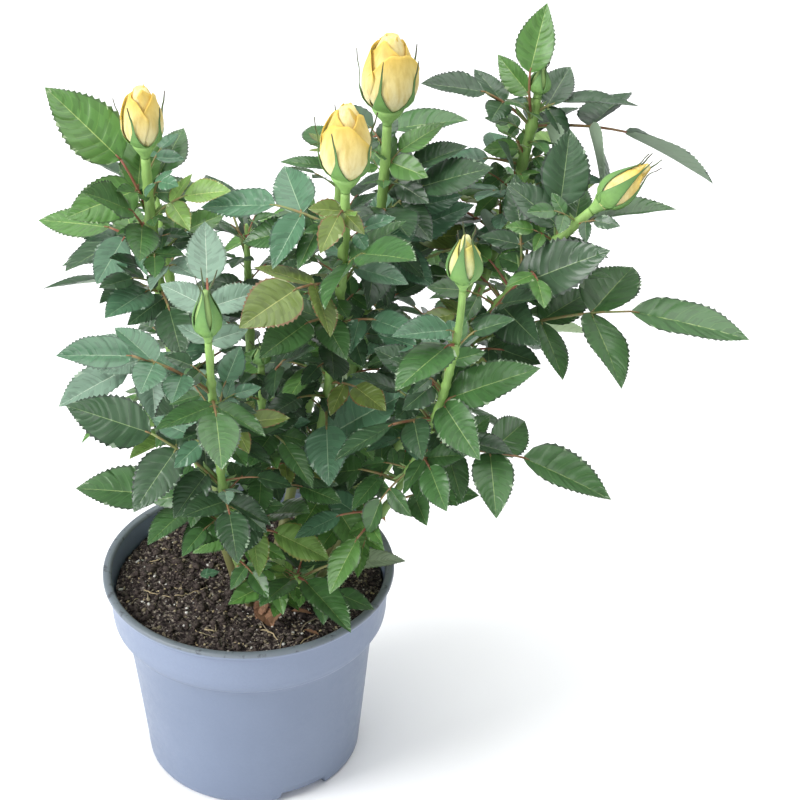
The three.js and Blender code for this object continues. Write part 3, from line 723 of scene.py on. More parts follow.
def spots(leaflet):
    """Points spread over a leaflet."""
    _, _, foot, along, normal, length = leaflet
    across = np.cross(along, normal)
    rows = []
    for share in np.linspace(0.12, 0.98, max(3, int(length / STEP))):
        half = WIDTH * length / 2 * half_width(share)
        for out in np.linspace(-1, 1, max(2, int(2 * half / STEP) + 1)):
            rise = FOLD * half * abs(out) - DROOP * length * share**2
            rows.append(foot + along * length * share + across * half * out + normal * rise)
    return np.array(rows)


def stalk_spots(leaf, start=0.12):
    return leaf.point(np.linspace(start, leaf.end, max(3, int(leaf.reach * leaf.end / 2))))


# A stem's radius at the compost, where the leaves begin and at the tip.
FOOT_RADIUS, ENTER_RADIUS, TIP_RADIUS = 2.5, 2.2, 1.9
fine, coarse = Space(2.3), Space(13.0)
for line in LINES.values():
    middle = line.point(np.linspace(0, 1, 160))
    for azimuth in range(0, 360, 60):
        fine.mark(middle + TIP_RADIUS * around(azimuth), "stem")
    if line.bud:
        length, width, _ = line.bud
        ahead = line.direction(1)
        for share in np.linspace(0, 1.1, 12):
            centre = line.point(1) + ahead * length * share
            for azimuth in range(0, 360, 30):
                out = around(azimuth) * width / 2
                fine.mark([centre + out, centre + out * 0.5], "bud")
for leaf in leaves:
    for one in leaf.kept:
        fine.mark(spots(one), id(leaf))
        coarse.mark(spots(one), 0)
    fine.mark(stalk_spots(leaf), id(leaf))


def complete(leaf, draw):
    """Adds the side leaflets that the solid had no room for, smaller, and a second pair."""
    missing = [one for one in leaf.leaflets if not any(one is kept for kept in leaf.kept)]
    if len(leaf.leaflets) == 3:
        back = min(SIDE_STEPS[1] * leaf.blade / leaf.reach, leaf.end * 0.85)
        seat = leaf.end - back
        if seat * leaf.reach > 7 and leaf.seats[0] - seat > 5 / leaf.reach:
            for hand, _, _, along, normal, length in leaf.leaflets[1:3]:
                along = unit(along + 0.12 * (draw() - 0.5) * leaf.upper)
                missing.append((hand, 1, leaf.point(seat), along, normal, length * lerp(0.6, 0.74, draw())))
    for *place, length in missing:
        for scale in (0.95, 0.8, 0.64):
            trial = (*place, length * scale)
            points = spots(trial)
            if fine.free(points[len(points) // 6 :], id(leaf)):
                leaf.kept.append(trial)
                fine.mark(points, id(leaf))
                break


TRIES = 40  # places for further leaves along each shoot
WITHIN = 0.72  # least share of a further leaf that lies in the space of the solids' leaves


def try_leaf(line, share, azimuth, pitch, *sizes):
    """A further leaf in the first of its places that is free and inside the mass."""
    for turn, lift in LEAF_PLACES:
        leaf = Leaf(line.point(share), azimuth + turn, pitch + lift, *sizes)
        stalk = stalk_spots(leaf, 0.3)
        if not fine.free(stalk):
            continue
        kept = [one for one in leaf.leaflets if fine.free(spots(one))]
        if not kept or kept[0] is not leaf.leaflets[0] or len(kept) < 2:
            continue
        points = np.concatenate([spots(one) for one in kept])
        if coarse.share(points) < WITHIN:
            continue
        leaf.kept, leaf.line, leaf.share = kept, line, share
        fine.mark(points, id(leaf))
        fine.mark(stalk, id(leaf))
        return leaf
    return None


def further_leaves(index, line, draw):
    """Small further leaves round a shoot, in golden-angle steps, still smaller high up."""
    *_, azimuth, _, reach = line.grow
    facing = FRONT if line.name in LEADING_LEAVES else azimuth
    for i in range(TRIES):
        share = lerp(line.enter + 0.05, 0.97, (i + 0.5) / TRIES)
        turn = 360 * ((i * GOLDEN + 0.37 * index) % 1)
        size = reach * lerp(0.5, 0.95, draw())
        if share > 0.8:
            size *= 0.6
        pitch = lerp(-24, 34, share) + 24 * (draw() - 0.5)
        leaflets = 5 if size > 34 else 3
        seed = 9000 + 100 * index + i
        blade = 0.52 * size
        leaf = try_leaf(line, share, turn, pitch, size, blade, leaflets, facing, seed)
        if leaf:
            leaf.number, leaf.index = 100 + i, index
            yield leaf


growth = seeded(77)
for leaf in leaves:
    complete(leaf, growth)
further = []
for index, line in enumerate(LINES.values()):
    further.extend(further_leaves(index, line, growth))

# ---- leaves and their stalks

# The sprays of the leading leaves, in their order.
# Leaves listed with the spray of painted sheen have the sky's reflection painted into their greens.
KNOWN_SPRAYS = {
    "left": "fresh sheen green young deep sheen green deep fresh green",
    "middle": "sheen olive green olive sheen deep green deep",
    "tall": "fresh deep deep sheen deep deep deep deep olive deep",
    "right": "deep green green deep deep deep deep deep",
    "front_right": "green green green deep sheen green deep green",
    "front_left": "green sheen grey deep green green deep",
    "far_right": "fresh deep deep deep grey fresh sheen sheen sheen fresh",
    "small": "fresh green deep deep green deep fresh",
    "basal": "fresh green green deep green pale",
}


def spray_of(leaf, draw):
    """The spray a leaf takes its greens from."""
    known = KNOWN_SPRAYS.get(leaf.line.name, "").split()
    if leaf.number < len(known):
        return known[leaf.number]
    x, _, z = leaf.point(0.8)
    if z > 265:
        choice = "fresh", "green", "green", "deep", "sheen", "young"
    elif z < 150:
        choice = "green", "fresh", "green", "fresh", "fresh", "young"
    elif x < 10:
        choice = "sheen", "deep", "green", "deep", "grey", "fresh"
    else:
        choice = "deep", "green", "deep", "sheen", "green", "fresh", "olive"
    return choice[int(draw() * len(choice)) % len(choice)]


def petiole(leaf, sheet, draw):
    """The stalk of a leaf with its swollen foot, the leaflets' short stalks and two stipules."""
    s = np.concatenate([[0, 0.015, 0.05], np.linspace(0.12, leaf.end, 6)])
    small = min(1.0, leaf.reach / 46)
    radii = small * (lerp(0.78, 0.5, s / leaf.end) + 0.55 * np.exp(-s * leaf.reach / 1.6))
    points, faces = tube(leaf.point(s), radii, 6, leaf.upper)
    red = lerp(0.25, 0.9, draw())
    sheet.add(points, faces, [0, 0], tone=red)
    for _, _, foot, along, _, length in leaf.kept:
        short = np.linspace(0, 0.07 * length, 3)[:, None] * along + foot
        points, faces = tube(short, [0.55 * small, 0.42 * small, 0.34 * small], 4, leaf.upper)
        sheet.add(points, faces, [0, 0], tone=red)
    stipules(leaf, sheet, small)


def stipules(leaf, sheet, small):
    """The two wings along the foot of a leaf's stalk, each ending in a free point."""
    run = min(0.34 * leaf.end, 11 / leaf.reach)
    width = 1.5 * small + 0.3
    ahead = unit(leaf.point(run) - leaf.point(0))
    over = square(leaf.upper, ahead)
    for hand in (-1, 1):
        side = np.cross(over, ahead) * hand
        rows = []
        for share in np.arange(6) / 5:
            at = leaf.point(run * min(share, 0.72) / 0.72)
            at = at + ahead * max(0.0, share - 0.72) * 9 * small
            wing = width * (0.5 + 0.8 * share - 1.2 * max(0.0, share - 0.7))
            inner = 0.3 if share < 0.74 else lerp(0.3, 1.1, (share - 0.74) / 0.26) * width
            outs = np.linspace(inner, max(inner + 0.05, wing), 3)[:, None]
            rows.append(at + side * outs + over * 0.5 * outs**2 / width)
        top = np.array(rows)[:, ::hand]
        points, faces = shell(top, top - leaf.upper * 0.22)
        sheet.add(points, faces, [1])


# Leaflets that stand on edge, by shoot and number of leaf: the turn about the midrib of the end
# leaflet and of those on either side.
ROLLED = {
    ("right", 1): (-38, 0, -46), ("far_right", 2): (-44, -46, -50), ("far_right", 3): (-44, 0, -30),
    ("left", 1): (-50, 0, 0), ("tall", 5): (-30, 0, 0), ("front_left", 3): (-20, 0, 0),
    ("right", 2): (-30, 0, 0),
}

twigs = Sheet()
masses = {name: Sheet() for name in SHOOTS}
dealing = seeded(5)
for leaf in leaves + further:
    spray = spray_of(leaf, dealing)
    draw = seeded(40000 + 100 * leaf.index + leaf.number)
    for one in leaf.kept:
        roll = ROLLED.get((leaf.line.name, leaf.number), (0, 0, 0))[one[0]]
        add_leaflet(masses[leaf.line.name], one, spray, draw, roll)
    petiole(leaf, twigs, draw)
for name, sheet in masses.items():
    sheet.build("leaves_" + name, GREENS, "foliage", ["foliage_" + name])

# Fallen leaves and dry scraps on the compost: foot, heading, pitch, length and spray.
FALLEN = [
    ((6, -24, 91.5), -60, -4, 13, "dry"), ((14, -30, 93), -100, 22, 12, "dry"),
    ((20, -26, 92), -20, 12, 10, "dry"), ((8, -21, 96), -110, -28, 11, "dry"),
    ((-22, 1, 90.8), 20, 3, 9, "sheen"), ((30, -14, 91), 10, 5, 12, "dry"),
    ((-6, 20, 91), 150, 4, 12, "dry"), ((44, 8, 91), 60, 2, 10, "dry"),
    ((20, 34, 91), 100, 3, 12, "dry"), ((26, -38, 91), -30, 8, 8, "dry"),
]
fallen = Sheet()
scrap = seeded(91)
for foot, azimuth, pitch, length, spray in FALLEN:
    ahead = heading(azimuth, pitch)
    normal = turned(square(UP, ahead), ahead, 70 * (scrap() - 0.5))
    add_leaflet(fallen, (0, None, np.array(foot, float), ahead, normal, length), spray, scrap)
fallen.build("fallen_leaves", GREENS, "foliage")

stalk_skin = Nodes("leaf stalk", 0.5, 0.4)
blotch = stalk_skin.span(stalk_skin.noise(260, 3), 0.35, 0.65, -0.22, 0.22)
share = stalk_skin.add("ShaderNodeMath", operation="ADD")
stalk_skin.link(stalk_skin.tone(), share.inputs[0])
stalk_skin.link(blotch, share.inputs[1])
STALK_STOPS = (0.1, (118, 142, 82)), (0.5, (138, 120, 80)), (0.95, (140, 84, 68))
stalk_skin.colour(stalk_skin.ramp(share.outputs[0], *STALK_STOPS))
wing_skin = plain("stipule", (128, 158, 96), 0.5)
twigs.build("twigs", [stalk_skin.material, wing_skin], "foliage")

# ---- stems

# Shoots that are thinner than the rest, as shares of the common width.
SLIM = {"front_left": 0.76, "front_right": 0.78, "small": 0.72}
STEM_STEP, STEM_SIDES, PRICKLES = 1.7, 18, 6


def stem(line, sheet):
    """A shoot from below the compost to its tip, with knots where leaves grow and fine ridges."""
    length = np.linalg.norm(np.diff(line.point(np.linspace(0, 1, 60)), axis=0), axis=1).sum()
    count, sides = int(length / STEM_STEP), STEM_SIDES
    t = np.linspace(-0.02, 1, count)
    s = np.clip(t, 0, 1)
    radii = np.interp(s, (0, line.enter, 1), (FOOT_RADIUS, ENTER_RADIUS, TIP_RADIUS))
    radii = radii + 0.9 * np.exp(-12 * s / line.enter)
    radii = radii * SLIM.get(line.name, 1.0)
    for leaf in leaves + further:
        if leaf.line is line:
            radii = radii + 0.34 * np.exp(-(((s - leaf.share) * length / 1.5) ** 2))
    if not line.bud:
        radii = radii * lerp(1.0, 0.3, np.clip((s - 0.8) / 0.2, 0, 1))
    points, faces = tube(line.point(t), radii, sides, line.side)
    body = points[:-2].reshape(count, sides, 3)
    centre = line.point(t)[:, None, :]
    angle = np.arange(sides) * 2 * math.pi / sides
    age = np.clip(1 - s * 2.2, 0, 1)[:, None]
    ridge = 0.035 * np.sin(5 * angle + 3 * s[:, None]) + 0.03 * np.sin(9 * angle - 5 * s[:, None] + 1)
    rough = np.array([[noise.noise(Vector(p * 0.9)) for p in ring] for ring in body])
    grow = 1 + ridge * (0.5 + 0.8 * age) / 2 + rough * (0.02 + 0.09 * age)
    points[:-2] = (centre + (body - centre) * grow[..., None]).reshape(-1, 3)
    tone = np.concatenate([np.repeat(s, sides), [0, 1]]) * 0.98 + 0.01
    sheet.add(points, faces, [0, 0], tone=tone)


def prickles(line, sheet, draw):
    """Short hooked thorns, pressed flat along the stem."""
    root = TIP_RADIUS * SLIM.get(line.name, 1.0)
    for k in range(PRICKLES):
        share = lerp(0.14, 0.8, (k + draw()) / PRICKLES)
        at, ahead = line.point(share), line.direction(share)
        a = 6.28 * draw()
        out = unit(np.cross(ahead, line.side)) * math.cos(a) + line.side * math.sin(a)
        height = lerp(1.5, 2.6, draw())
        side = np.cross(ahead, out)
        rings = []
        for q in (0, 0.35, 0.7, 1):
            middle = at + out * (root + height * q) - ahead * height * 0.5 * q**2
            long, wide = 1.5 * (1 - q) ** 1.3 + 0.06, 0.55 * (1 - q) + 0.05
            rings.append([middle + ahead * long * math.cos(b) + side * wide * math.sin(b)
                          for b in np.arange(8) * math.pi / 4])
        cap = np.stack([np.full(6, 24), 25 + np.arange(6), 26 + np.arange(6)], 1)
        sheet.add(np.concatenate(rings), [bands(4, 8), cap], [1, 1])


stems = Sheet()
thorny = seeded(31)
for line in LINES.values():
    stem(line, stems)
    prickles(line, stems, thorny)

# From the brown foot of a shoot to its pale tip.
BARK_STOPS = ((0.0, (118, 100, 72)), (0.1, (124, 124, 78)), (0.3, (118, 150, 82)),
              (0.75, (136, 176, 92)), (1.0, (156, 196, 110)))
bark = streaked("stem skin", (0.55, 0.4), (420, 5, 0.6, (1, 1, 0.25)), BARK_STOPS,
                (0.35, 0.7, 0.0, 0.5), (98, 116, 66), (0.0004, 0.5))
thorn_skin = plain("thorn", (150, 112, 78), 0.5)
stems.build("stems", [bark.material, thorn_skin], "cane", ["cane_" + name for name in SHOOTS])

# ---- buds

# Radius of the petals' body over its height, as shares of the bud's half width.
BODY_SHARES = (0, 0.06, 0.15, 0.28, 0.4, 0.5, 0.6, 0.7, 0.8, 0.9, 1.0)
BODY = {
    "open": (0.5, 0.72, 0.9, 1.0, 1.0, 0.96, 0.88, 0.76, 0.61, 0.43, 0.24),
    "half": (0.56, 0.78, 0.94, 1.0, 0.95, 0.85, 0.72, 0.58, 0.43, 0.29, 0.14),
    "green": (0.66, 0.84, 0.96, 1.0, 0.95, 0.84, 0.7, 0.54, 0.4, 0.28, 0.16),
}
HIP, NECK_RADIUS = 0.2, 2.0
GOLDEN_TURN = 2.399963  # radians from one petal to the next
PETALS = {"open": 7, "half": 5, "green": 0}
# The sepals' length, the share of it that clasps the petals, their breadth and how far they stand off.
SEPALS = {"open": (0.68, 0.46, 0.38, 1.0), "half": (0.98, 0.72, 0.66, 0.5), "green": (1.12, 0.66, 0.74, 1.6)}


class Bud:
    """A bud's axes and the form of its body."""

    def __init__(self, line):
        self.length, self.width, self.form = line.bud
        ahead = line.direction(1)
        self.turn = np.array(Vector((0, 0, 1)).rotation_difference(Vector(ahead)).to_matrix())
        self.foot = line.point(1) + ahead * GAP
        self.r = self.width / 2
        self.hip = HIP * self.length
        self.neck = min(0.42 * self.r, NECK_RADIUS * SLIM.get(line.name, 1.0))

    def place(self, points):
        return self.foot + np.asarray(points) @ self.turn.T

    def radius(self, z):
        share = (z - self.hip) / (self.length - self.hip)
        return self.r * np.interp(share, BODY_SHARES, BODY[self.form])


def round_point(radius, angle, z):
    return np.stack(np.broadcast_arrays(radius * np.cos(angle), radius * np.sin(angle), z), -1)


def petals_of(bud, sheet, draw, first, skin):
    """Petals wrapped one over the next, the last ones outermost and opening at their rims."""
    count = PETALS[bud.form]
    for k in range(count):
        layer = k / max(1, count - 1)
        middle = first + k * GOLDEN_TURN
        half = lerp(1.6, 1.35, layer)
        top = bud.length * lerp(1.0, 0.86, layer**1.3) * lerp(0.97, 1.0, draw())
        foot = bud.hip * 0.82
        v = np.linspace(0, 1, 20)[:, None]
        a = np.linspace(-1, 1, 23)[None, :]
        crest = 1 - 0.36 * np.abs(a) ** 2.2 + 0.02 * np.sin(7 * a + 6 * draw())
        z = foot + (top - foot) * v * (crest * v + 1 - v)
        angle = middle + half * a * (0.66 + 0.34 * np.sin(np.clip(v * 1.35, 0, 1) * math.pi / 2))
        radius = bud.radius(z) * lerp(0.62, 1.0, layer**0.6)
        radius = radius + 0.35 * a * (0.4 + v)
        rim = np.clip((v - 0.78) / 0.22, 0, 1) ** 2
        flare = lerp(0.1, 0.8, layer) * (1 if bud.form == "open" else 0.45)
        radius = radius + rim * flare * (1 - 0.35 * a**2)
        ripple = 0.16 * np.sin(9 * a + 5 * v + 6 * draw()) * v
        radius = np.maximum(radius + ripple, 0.6)
        thick = 0.32 * (1 - 0.6 * v)
        points, faces = shell(round_point(radius, angle, z), round_point(radius - thick, angle, z))
        tone = np.tile(np.repeat(v, a.size), 2)
        sheet.add(bud.place(points), faces, [skin], tone=0.02 + 0.96 * tone)


def hip_of(bud, sheet):
    """The swollen green foot under the petals."""
    r, hip, foot = bud.r, bud.hip, bud.neck
    profile = [(0, 0), (foot * 0.96, 0), (foot, 0.12 * hip), (lerp(foot, 0.44 * r, 0.4), 0.34 * hip),
               (0.44 * r, 0.58 * hip), (0.54 * r, 0.8 * hip), (0.6 * r, 1.0 * hip), (0.52 * r, 1.12 * hip),
               (0, 1.14 * hip)]
    angle = np.arange(24) * math.pi / 12
    rings = np.concatenate([round_point(max(x, 0.01), angle, z) for x, z in profile])
    sheet.add(bud.place(rings), [bands(len(profile), 24)], [0], tone=0.05)


def sepals_of(bud, sheet, draw):
    """Five sepals, broad at the foot, clasping the petals and ending in a thin free point."""
    length, hold, broad, apart = SEPALS[bud.form]
    length, broad = length * bud.length, broad * bud.r
    for k in range(5):
        middle = (k + 0.5) * 2 * math.pi / 5
        away = lerp(0.8, 2.6, draw()) * apart
        lean = 0.3 * (draw() - 0.5)
        s = np.linspace(0, 1, 22)[:, None]
        a = np.linspace(-1, 1, 9)[None, :]
        z = bud.hip * 0.8 + length * s * lerp(1, 0.92, draw())
        free = np.clip((s - hold) / (1 - hold), 0, 1)
        held = bud.radius(z) - 0.7 * np.clip(1 - s / 0.08, 0, 1)
        loose = bud.radius(bud.hip * 0.8 + length * hold)
        radius = np.where(free > 0, lerp(held, loose + away * free, np.clip(free * 1.6, 0, 1)), held) + 0.35
        wide = broad * (1 - s) ** 0.8 * (1 - 0.9 * np.clip(s / hold, 0, 1) ** 1.6) + 0.4 * (1 - s) + 0.12
        wide = np.where(s < 0.12, broad * (0.8 + 1.4 * s), wide)
        angle = middle + lean * free + a * wide / np.maximum(radius, 1.5)
        lift = 0.3 * a**2 * wide / bud.r
        points, faces = shell(*(round_point(radius + lift + skin, angle, z) for skin in (0.22, -0.16)))
        tone = np.tile((0.1 + 0.7 * s**1.6 + 0.16 * a**4).ravel(), 2)
        sheet.add(bud.place(points), faces, [0], tone=tone)


def core_of(bud, sheet, skin):
    """The closed heart of the bud, seen between the petals."""
    z = np.linspace(bud.hip * 0.9, bud.length * 0.965, 14)
    radius = bud.radius(z) * (0.8 if bud.form != "green" else 0.95)
    points, faces = tube(np.outer(z, UP), radius, 20)
    sheet.add(bud.place(points), faces, [skin, skin], tone=0.5)


petals, sepals = Sheet(), Sheet()
bud_draw = seeded(64)
# The direction that a bud's innermost petal faces, in radians.
FIRST = {"left": 0.4, "middle": 2.6, "tall": 3.3, "right": 1.0, "front_right": 2.0}
for name, line in LINES.items():
    if line.bud:
        bud = Bud(line)
        skin = 2 if bud.form == "green" else 1 if name == "front_right" else 0
        core_of(bud, petals, skin)
        petals_of(bud, petals, bud_draw, FIRST.get(name, 0.0), skin)
        hip_of(bud, sepals)
        sepals_of(bud, sepals, bud_draw)


def petal_skin(name, stops, streak):
    """The soft skin of petals, which lets light through; the stops run from foot to rim."""
    made = streaked(name, (0.5, 0.3), (420, 5, 0.6, (1, 1, 0.22)), stops,
                    (0.42, 0.68, 0.0, 0.6), streak, (0.0004, 0.4))
    made.shader.inputs["Subsurface Weight"].default_value = 0.2
    made.shader.inputs["Subsurface Radius"].default_value = (0.004, 0.003, 0.0012)
    made.shader.inputs["Subsurface Scale"].default_value = 1.0
    return made.material


YELLOW_STOPS = ((0.0, (226, 228, 168)), (0.25, (244, 231, 176)), (0.7, (242, 218, 136)),
                (1.0, (222, 184, 76)))
CREAM_STOPS = (0.0, (206, 222, 152)), (0.5, (226, 228, 166)), (1.0, (222, 206, 100))
yellow = petal_skin("petal", YELLOW_STOPS, (206, 172, 78))
cream = petal_skin("young petal", CREAM_STOPS, (172, 182, 98))
green_heart = plain("green heart", (142, 174, 104), 0.55)
petals.build("petals", [yellow, cream, green_heart], "bud")
SEPAL_STOPS = ((0.0, (160, 200, 118)), (0.14, (124, 166, 92)), (0.4, (92, 132, 76)),
               (0.85, (70, 56, 44)))
sepal_skin = streaked("sepal", (0.55, 0.35), (500, 4), SEPAL_STOPS,
                      (0.4, 0.7, 0.0, 0.35), (96, 132, 78), (0.0003, 0.4))
budded = ["bud_" + name for name, line in LINES.items() if line.bud]
sepals.build("sepals_and_hips", [sepal_skin.material], "bud", budded)

# ---- pot

NOTCH_FIRST, NOTCH_ARC, NOTCH_HEIGHT = -59.5, 27.0, 4.4
# Radius and height from the middle of the underside, up the outside, over the lip and down inside.
POT_PROFILE = [
    (0, 0), (30, 0), (43.5, 0), (43.5, 0), (47.2, 0), (48.0, 0.3), (48.55, 1.2), (48.9, 4.4), (49.2, 8),
    (50.6, 22), (52.0, 36), (53.4, 50), (54.8, 62), (55.4, 68.2), (55.8, 70.0), (56.8, 71.4),
    (58.6, 72.6), (60.2, 74.0), (61.1, 75.6), (61.5, 78.0), (61.9, 85), (62.3, 92.6), (62.5, 94.1),
    (63.0, 94.9), (64.0, 95.2), (64.75, 95.5), (65.0, 96.1), (65.0, 96.9), (64.75, 97.6), (64.2, 97.95),
    (63.2, 98.0), (62.2, 97.9), (61.4, 97.4), (61.0, 96.4), (60.7, 93), (60.4, 88), (60.0, 80),
    (59.4, 76.4), (57.4, 73.6), (54.6, 71.6), (53.9, 70), (51.5, 45), (49.2, 20), (47.6, 7), (46, 6), (0, 6),
]
FOOT_ROWS, WALL_ROWS = range(3, 8), range(8, 34)
POT_STEPS = 240


def notch_at(degrees):
    """1 in a drain notch of the foot, 0 outside it, with steep sides."""
    away = abs((degrees - NOTCH_FIRST + 60) % 120 - 60)
    return np.clip((NOTCH_ARC / 2 + 0.7 - away) / 1.4, 0, 1)


def pot_mesh(sheet):
    """The turned wall of the pot, closed at the axis, with the notches cut into its foot."""
    degrees = np.arange(POT_STEPS) * 360 / POT_STEPS
    a = np.radians(degrees)
    arch = NOTCH_HEIGHT * np.minimum(1.0, 1.25 * notch_at(degrees))
    rings = []
    for k, (r, z) in enumerate(POT_PROFILE):
        up = np.maximum(z, arch) if k in FOOT_ROWS else z
        waver = 0.08 * np.sin(3 * a + 0.06 * z) + 0.05 * np.sin(5 * a + 1) if k in WALL_ROWS else 0
        rings.append(round_point(r + waver, a, up))
    sheet.add(np.concatenate(rings), [bands(len(rings), POT_STEPS)], [0])


pot_sheet = Sheet()
pot_mesh(pot_sheet)
plastic = Nodes("pot plastic", 0.42, 0.5)
cloud = plastic.noise(14, 3, 0.5)
grain = plastic.noise(900, 3, 0.6)
worn = plastic.noise(230, 5, 0.7)
base = plastic.ramp(cloud, (0.3, (113, 126, 149)), (0.7, (123, 136, 159)))
# Painted light: from 72 mm up, the collar band is a lighter blue-grey than the rest of the plastic, making
# up for the shade that the foliage above casts on it.
collar_painted_light = plastic.span(plastic.height(), 0.072, 0.08)
base = plastic.mix(collar_painted_light, base, linear(126, 139, 163))
lip = plastic.span(plastic.height(), 0.0962, 0.0967)
scuff = plastic.mix(plastic.span(worn, 0.56, 0.66), linear(112, 121, 128), linear(66, 71, 76))
base = plastic.mix(lip, base, scuff)
plastic.colour(plastic.mix(plastic.span(grain, 0.3, 0.7, 0.0, 0.14), base, linear(104, 113, 132)))
plastic.rough(plastic.span(worn, 0.3, 0.7, 0.36, 0.5))
plastic.bump(grain, 0.0002, 0.25)
pot_sheet.build("pot_body", [plastic.material], "pot", ["pot"])

# ---- compost

# The radius of the surface's edge, and the radius and height of the flat base under it.
SOIL_EDGE, BASE_EDGE, BASE = 59.4, 57.8, 78
# How near to the rim lumps and fibres may lie, and how near to the middle of a stem.
LUMP_EDGE, LUMP_CLEAR = 58.6, 3.6
FIBRE_EDGE, FIBRE_CLEAR = 58, 3.4


def ground(x, y):
    """The height of the compost's surface."""
    r = math.hypot(x, y)
    z = SOIL_TOP - 1.5 * max(0.0, (r - 47.7) / 12)
    mound = 1.1 * noise.noise(Vector((x, y, 0)) / 16)
    grain = 1.1 * noise.noise(Vector((x, y, 7)) / 3.0) + 0.9 * noise.noise(Vector((x, y, 3)) / 1.2)
    return z + mound * 0.6 + grain - 0.3


def ground_mesh(sheet):
    """The rough surface as rings round the middle, closed below by a flat base."""
    rings, steps = 74, 200
    points = [ground(0, 0) * UP]
    for k in range(1, rings + 1):
        r = SOIL_EDGE * (k / rings) ** 0.85
        for i in range(steps):
            x, y, _ = r * around(360 * (i + 0.5 * (k % 2)) / steps)
            points.append((x, y, ground(x, y)))
    points += [BASE_EDGE * around(360 * i / steps) + BASE * UP for i in range(steps)]
    points.append(BASE * UP)
    i = np.arange(steps)
    j = (i + 1) % steps
    quads = np.concatenate([np.stack([i, i + steps, j + steps, j], 1) + 1 + steps * k for k in range(rings)])
    fan = np.stack([np.zeros(steps, int), i + 1, j + 1], 1)
    last = 1 + steps * rings
    base = np.stack([last + i, np.full(steps, last + steps), last + j], 1)
    sheet.add(np.array(points), [quads, np.concatenate([fan, base])], [0, 0])


def clod():
    """The corners and triangles of an icosahedron, from which each lump is drawn out."""
    golden = (1 + 5**0.5) / 2
    corners = [c for one in (-1, 1) for two in (-golden, golden)
               for c in ((0, one, two), (one, two, 0), (two, 0, one))]
    corners = np.array(corners, float)
    faces = []
    for a, b, c in combinations(range(12), 3):
        p, q, r = corners[[a, b, c]]
        if max(np.linalg.norm(p - q), np.linalg.norm(q - r), np.linalg.norm(p - r)) < 2.1:
            faces.append((a, b, c) if np.dot(np.cross(q - p, r - p), p + q + r) > 0 else (a, c, b))
    return corners / 1.902, np.array(faces)


CORNERS, TRIANGLES = clod()
LUMPS, FIBRES = 2600, 46
# By name: up to which share of the lumps, smallest and largest size, rarity of large ones,
# roughness, dark and pale colour.
KINDS = {
    "bark chip": (0.5, 0.5, 2.6, 3, 0.9, (40, 34, 33), (92, 81, 76)),
    "wood crumb": (0.8, 0.35, 1.3, 3, 0.9, (104, 92, 76), (172, 161, 134)),
    "perlite": (0.92, 0.3, 1.1, 2, 0.9, (196, 194, 188), (228, 226, 220)),
    "straw": (1.0, 0.3, 0.7, 1, 0.8, (168, 148, 112), (204, 188, 152)),
}
# Slot 0 is the compost itself, and the kinds follow.
CRUMB, STRAW = 2, 4


def cast(draw, reach):
    """A random place within reach of the pot's axis: its radius, x and y."""
    r, a = reach * math.sqrt(draw()), 6.2832 * draw()
    return r, r * math.cos(a), r * math.sin(a)


def lumps(sheet, draw, feet):
    """Bark, wood and grit strewn on the surface, clear of the stems."""
    for _ in range(LUMPS):
        r, x, y = cast(draw, 58.2)
        kind = draw()
        slot = 1 + sum(kind >= limit for limit, *_ in KINDS.values())
        sizes = [lerp(low, high, draw() ** rare) for _, low, high, rare, *_ in KINDS.values()]
        size = sizes[slot - 1]
        near = min(math.hypot(x - foot[0], y - foot[1]) for foot in feet)
        if r + size > LUMP_EDGE or near < LUMP_CLEAR:
            continue
        stretch = np.array([lerp(0.8, 1.7, draw()), lerp(0.5, 1.0, draw()), lerp(0.35, 0.8, draw())])
        points = CORNERS * stretch * size
        points = points * (1 + 0.3 * np.array([draw() - 0.5 for _ in range(12)]))[:, None]
        spin = Matrix.Rotation(6.28 * draw(), 3, "Z")
        turn = np.array(spin @ Matrix.Rotation(0.9 * (draw() - 0.5), 3, "X"))
        points = points @ turn.T + np.array([x, y, ground(x, y) + 0.25 * size])
        sheet.add(points, [TRIANGLES], [slot])


def fibres(sheet, draw, feet):
    """Thin bent fibres that lie on the surface."""
    taper = np.array([0.4, 0.8, 1, 1, 1, 1, 1, 0.8, 0.4])
    for _ in range(FIBRES):
        _, x, y = cast(draw, 54)
        way = 6.28 * draw()
        length, bend = lerp(4, 15, draw()), 1.6 * (draw() - 0.5)
        path = []
        for q in np.linspace(-0.5, 0.5, 9):
            px = x + length * q * math.cos(way + bend * q)
            py = y + length * q * math.sin(way + bend * q)
            path.append((px, py, ground(px, py) + 0.5 + 0.7 * (0.25 - q * q)))
        path = np.array(path)
        near = min(np.hypot(*(path[:, :2] - foot).T).min() for foot in feet)
        if np.hypot(path[:, 0], path[:, 1]).max() > FIBRE_EDGE or near < FIBRE_CLEAR:
            continue
        points, faces = tube(path, lerp(0.12, 0.34, draw()) * taper, 5)
        slot = STRAW if draw() < 0.6 else CRUMB
        sheet.add(points, faces, [slot, slot])


soil_sheet = Sheet()
ground_mesh(soil_sheet)
strewing = seeded(12)
stem_feet = [line.point(0.0)[:2] for line in LINES.values()]
lumps(soil_sheet, strewing, stem_feet)
fibres(soil_sheet, strewing, stem_feet)
EARTH_STOPS = ((0.38, (18, 15, 15)), (0.5, (64, 55, 54)), (0.58, (130, 118, 110)),
               (0.66, (212, 204, 184)))
earth = Nodes("compost", 0.95, 0.2)
speck = earth.noise(620, 6, 0.7)
patch = earth.noise(150, 4, 0.6)
damp = earth.span(patch, 0.4, 0.7, 0.0, 0.6)
earth.colour(earth.mix(damp, earth.ramp(speck, *EARTH_STOPS), linear(46, 38, 38)))
earth.bump(speck, 0.0012, 0.9)


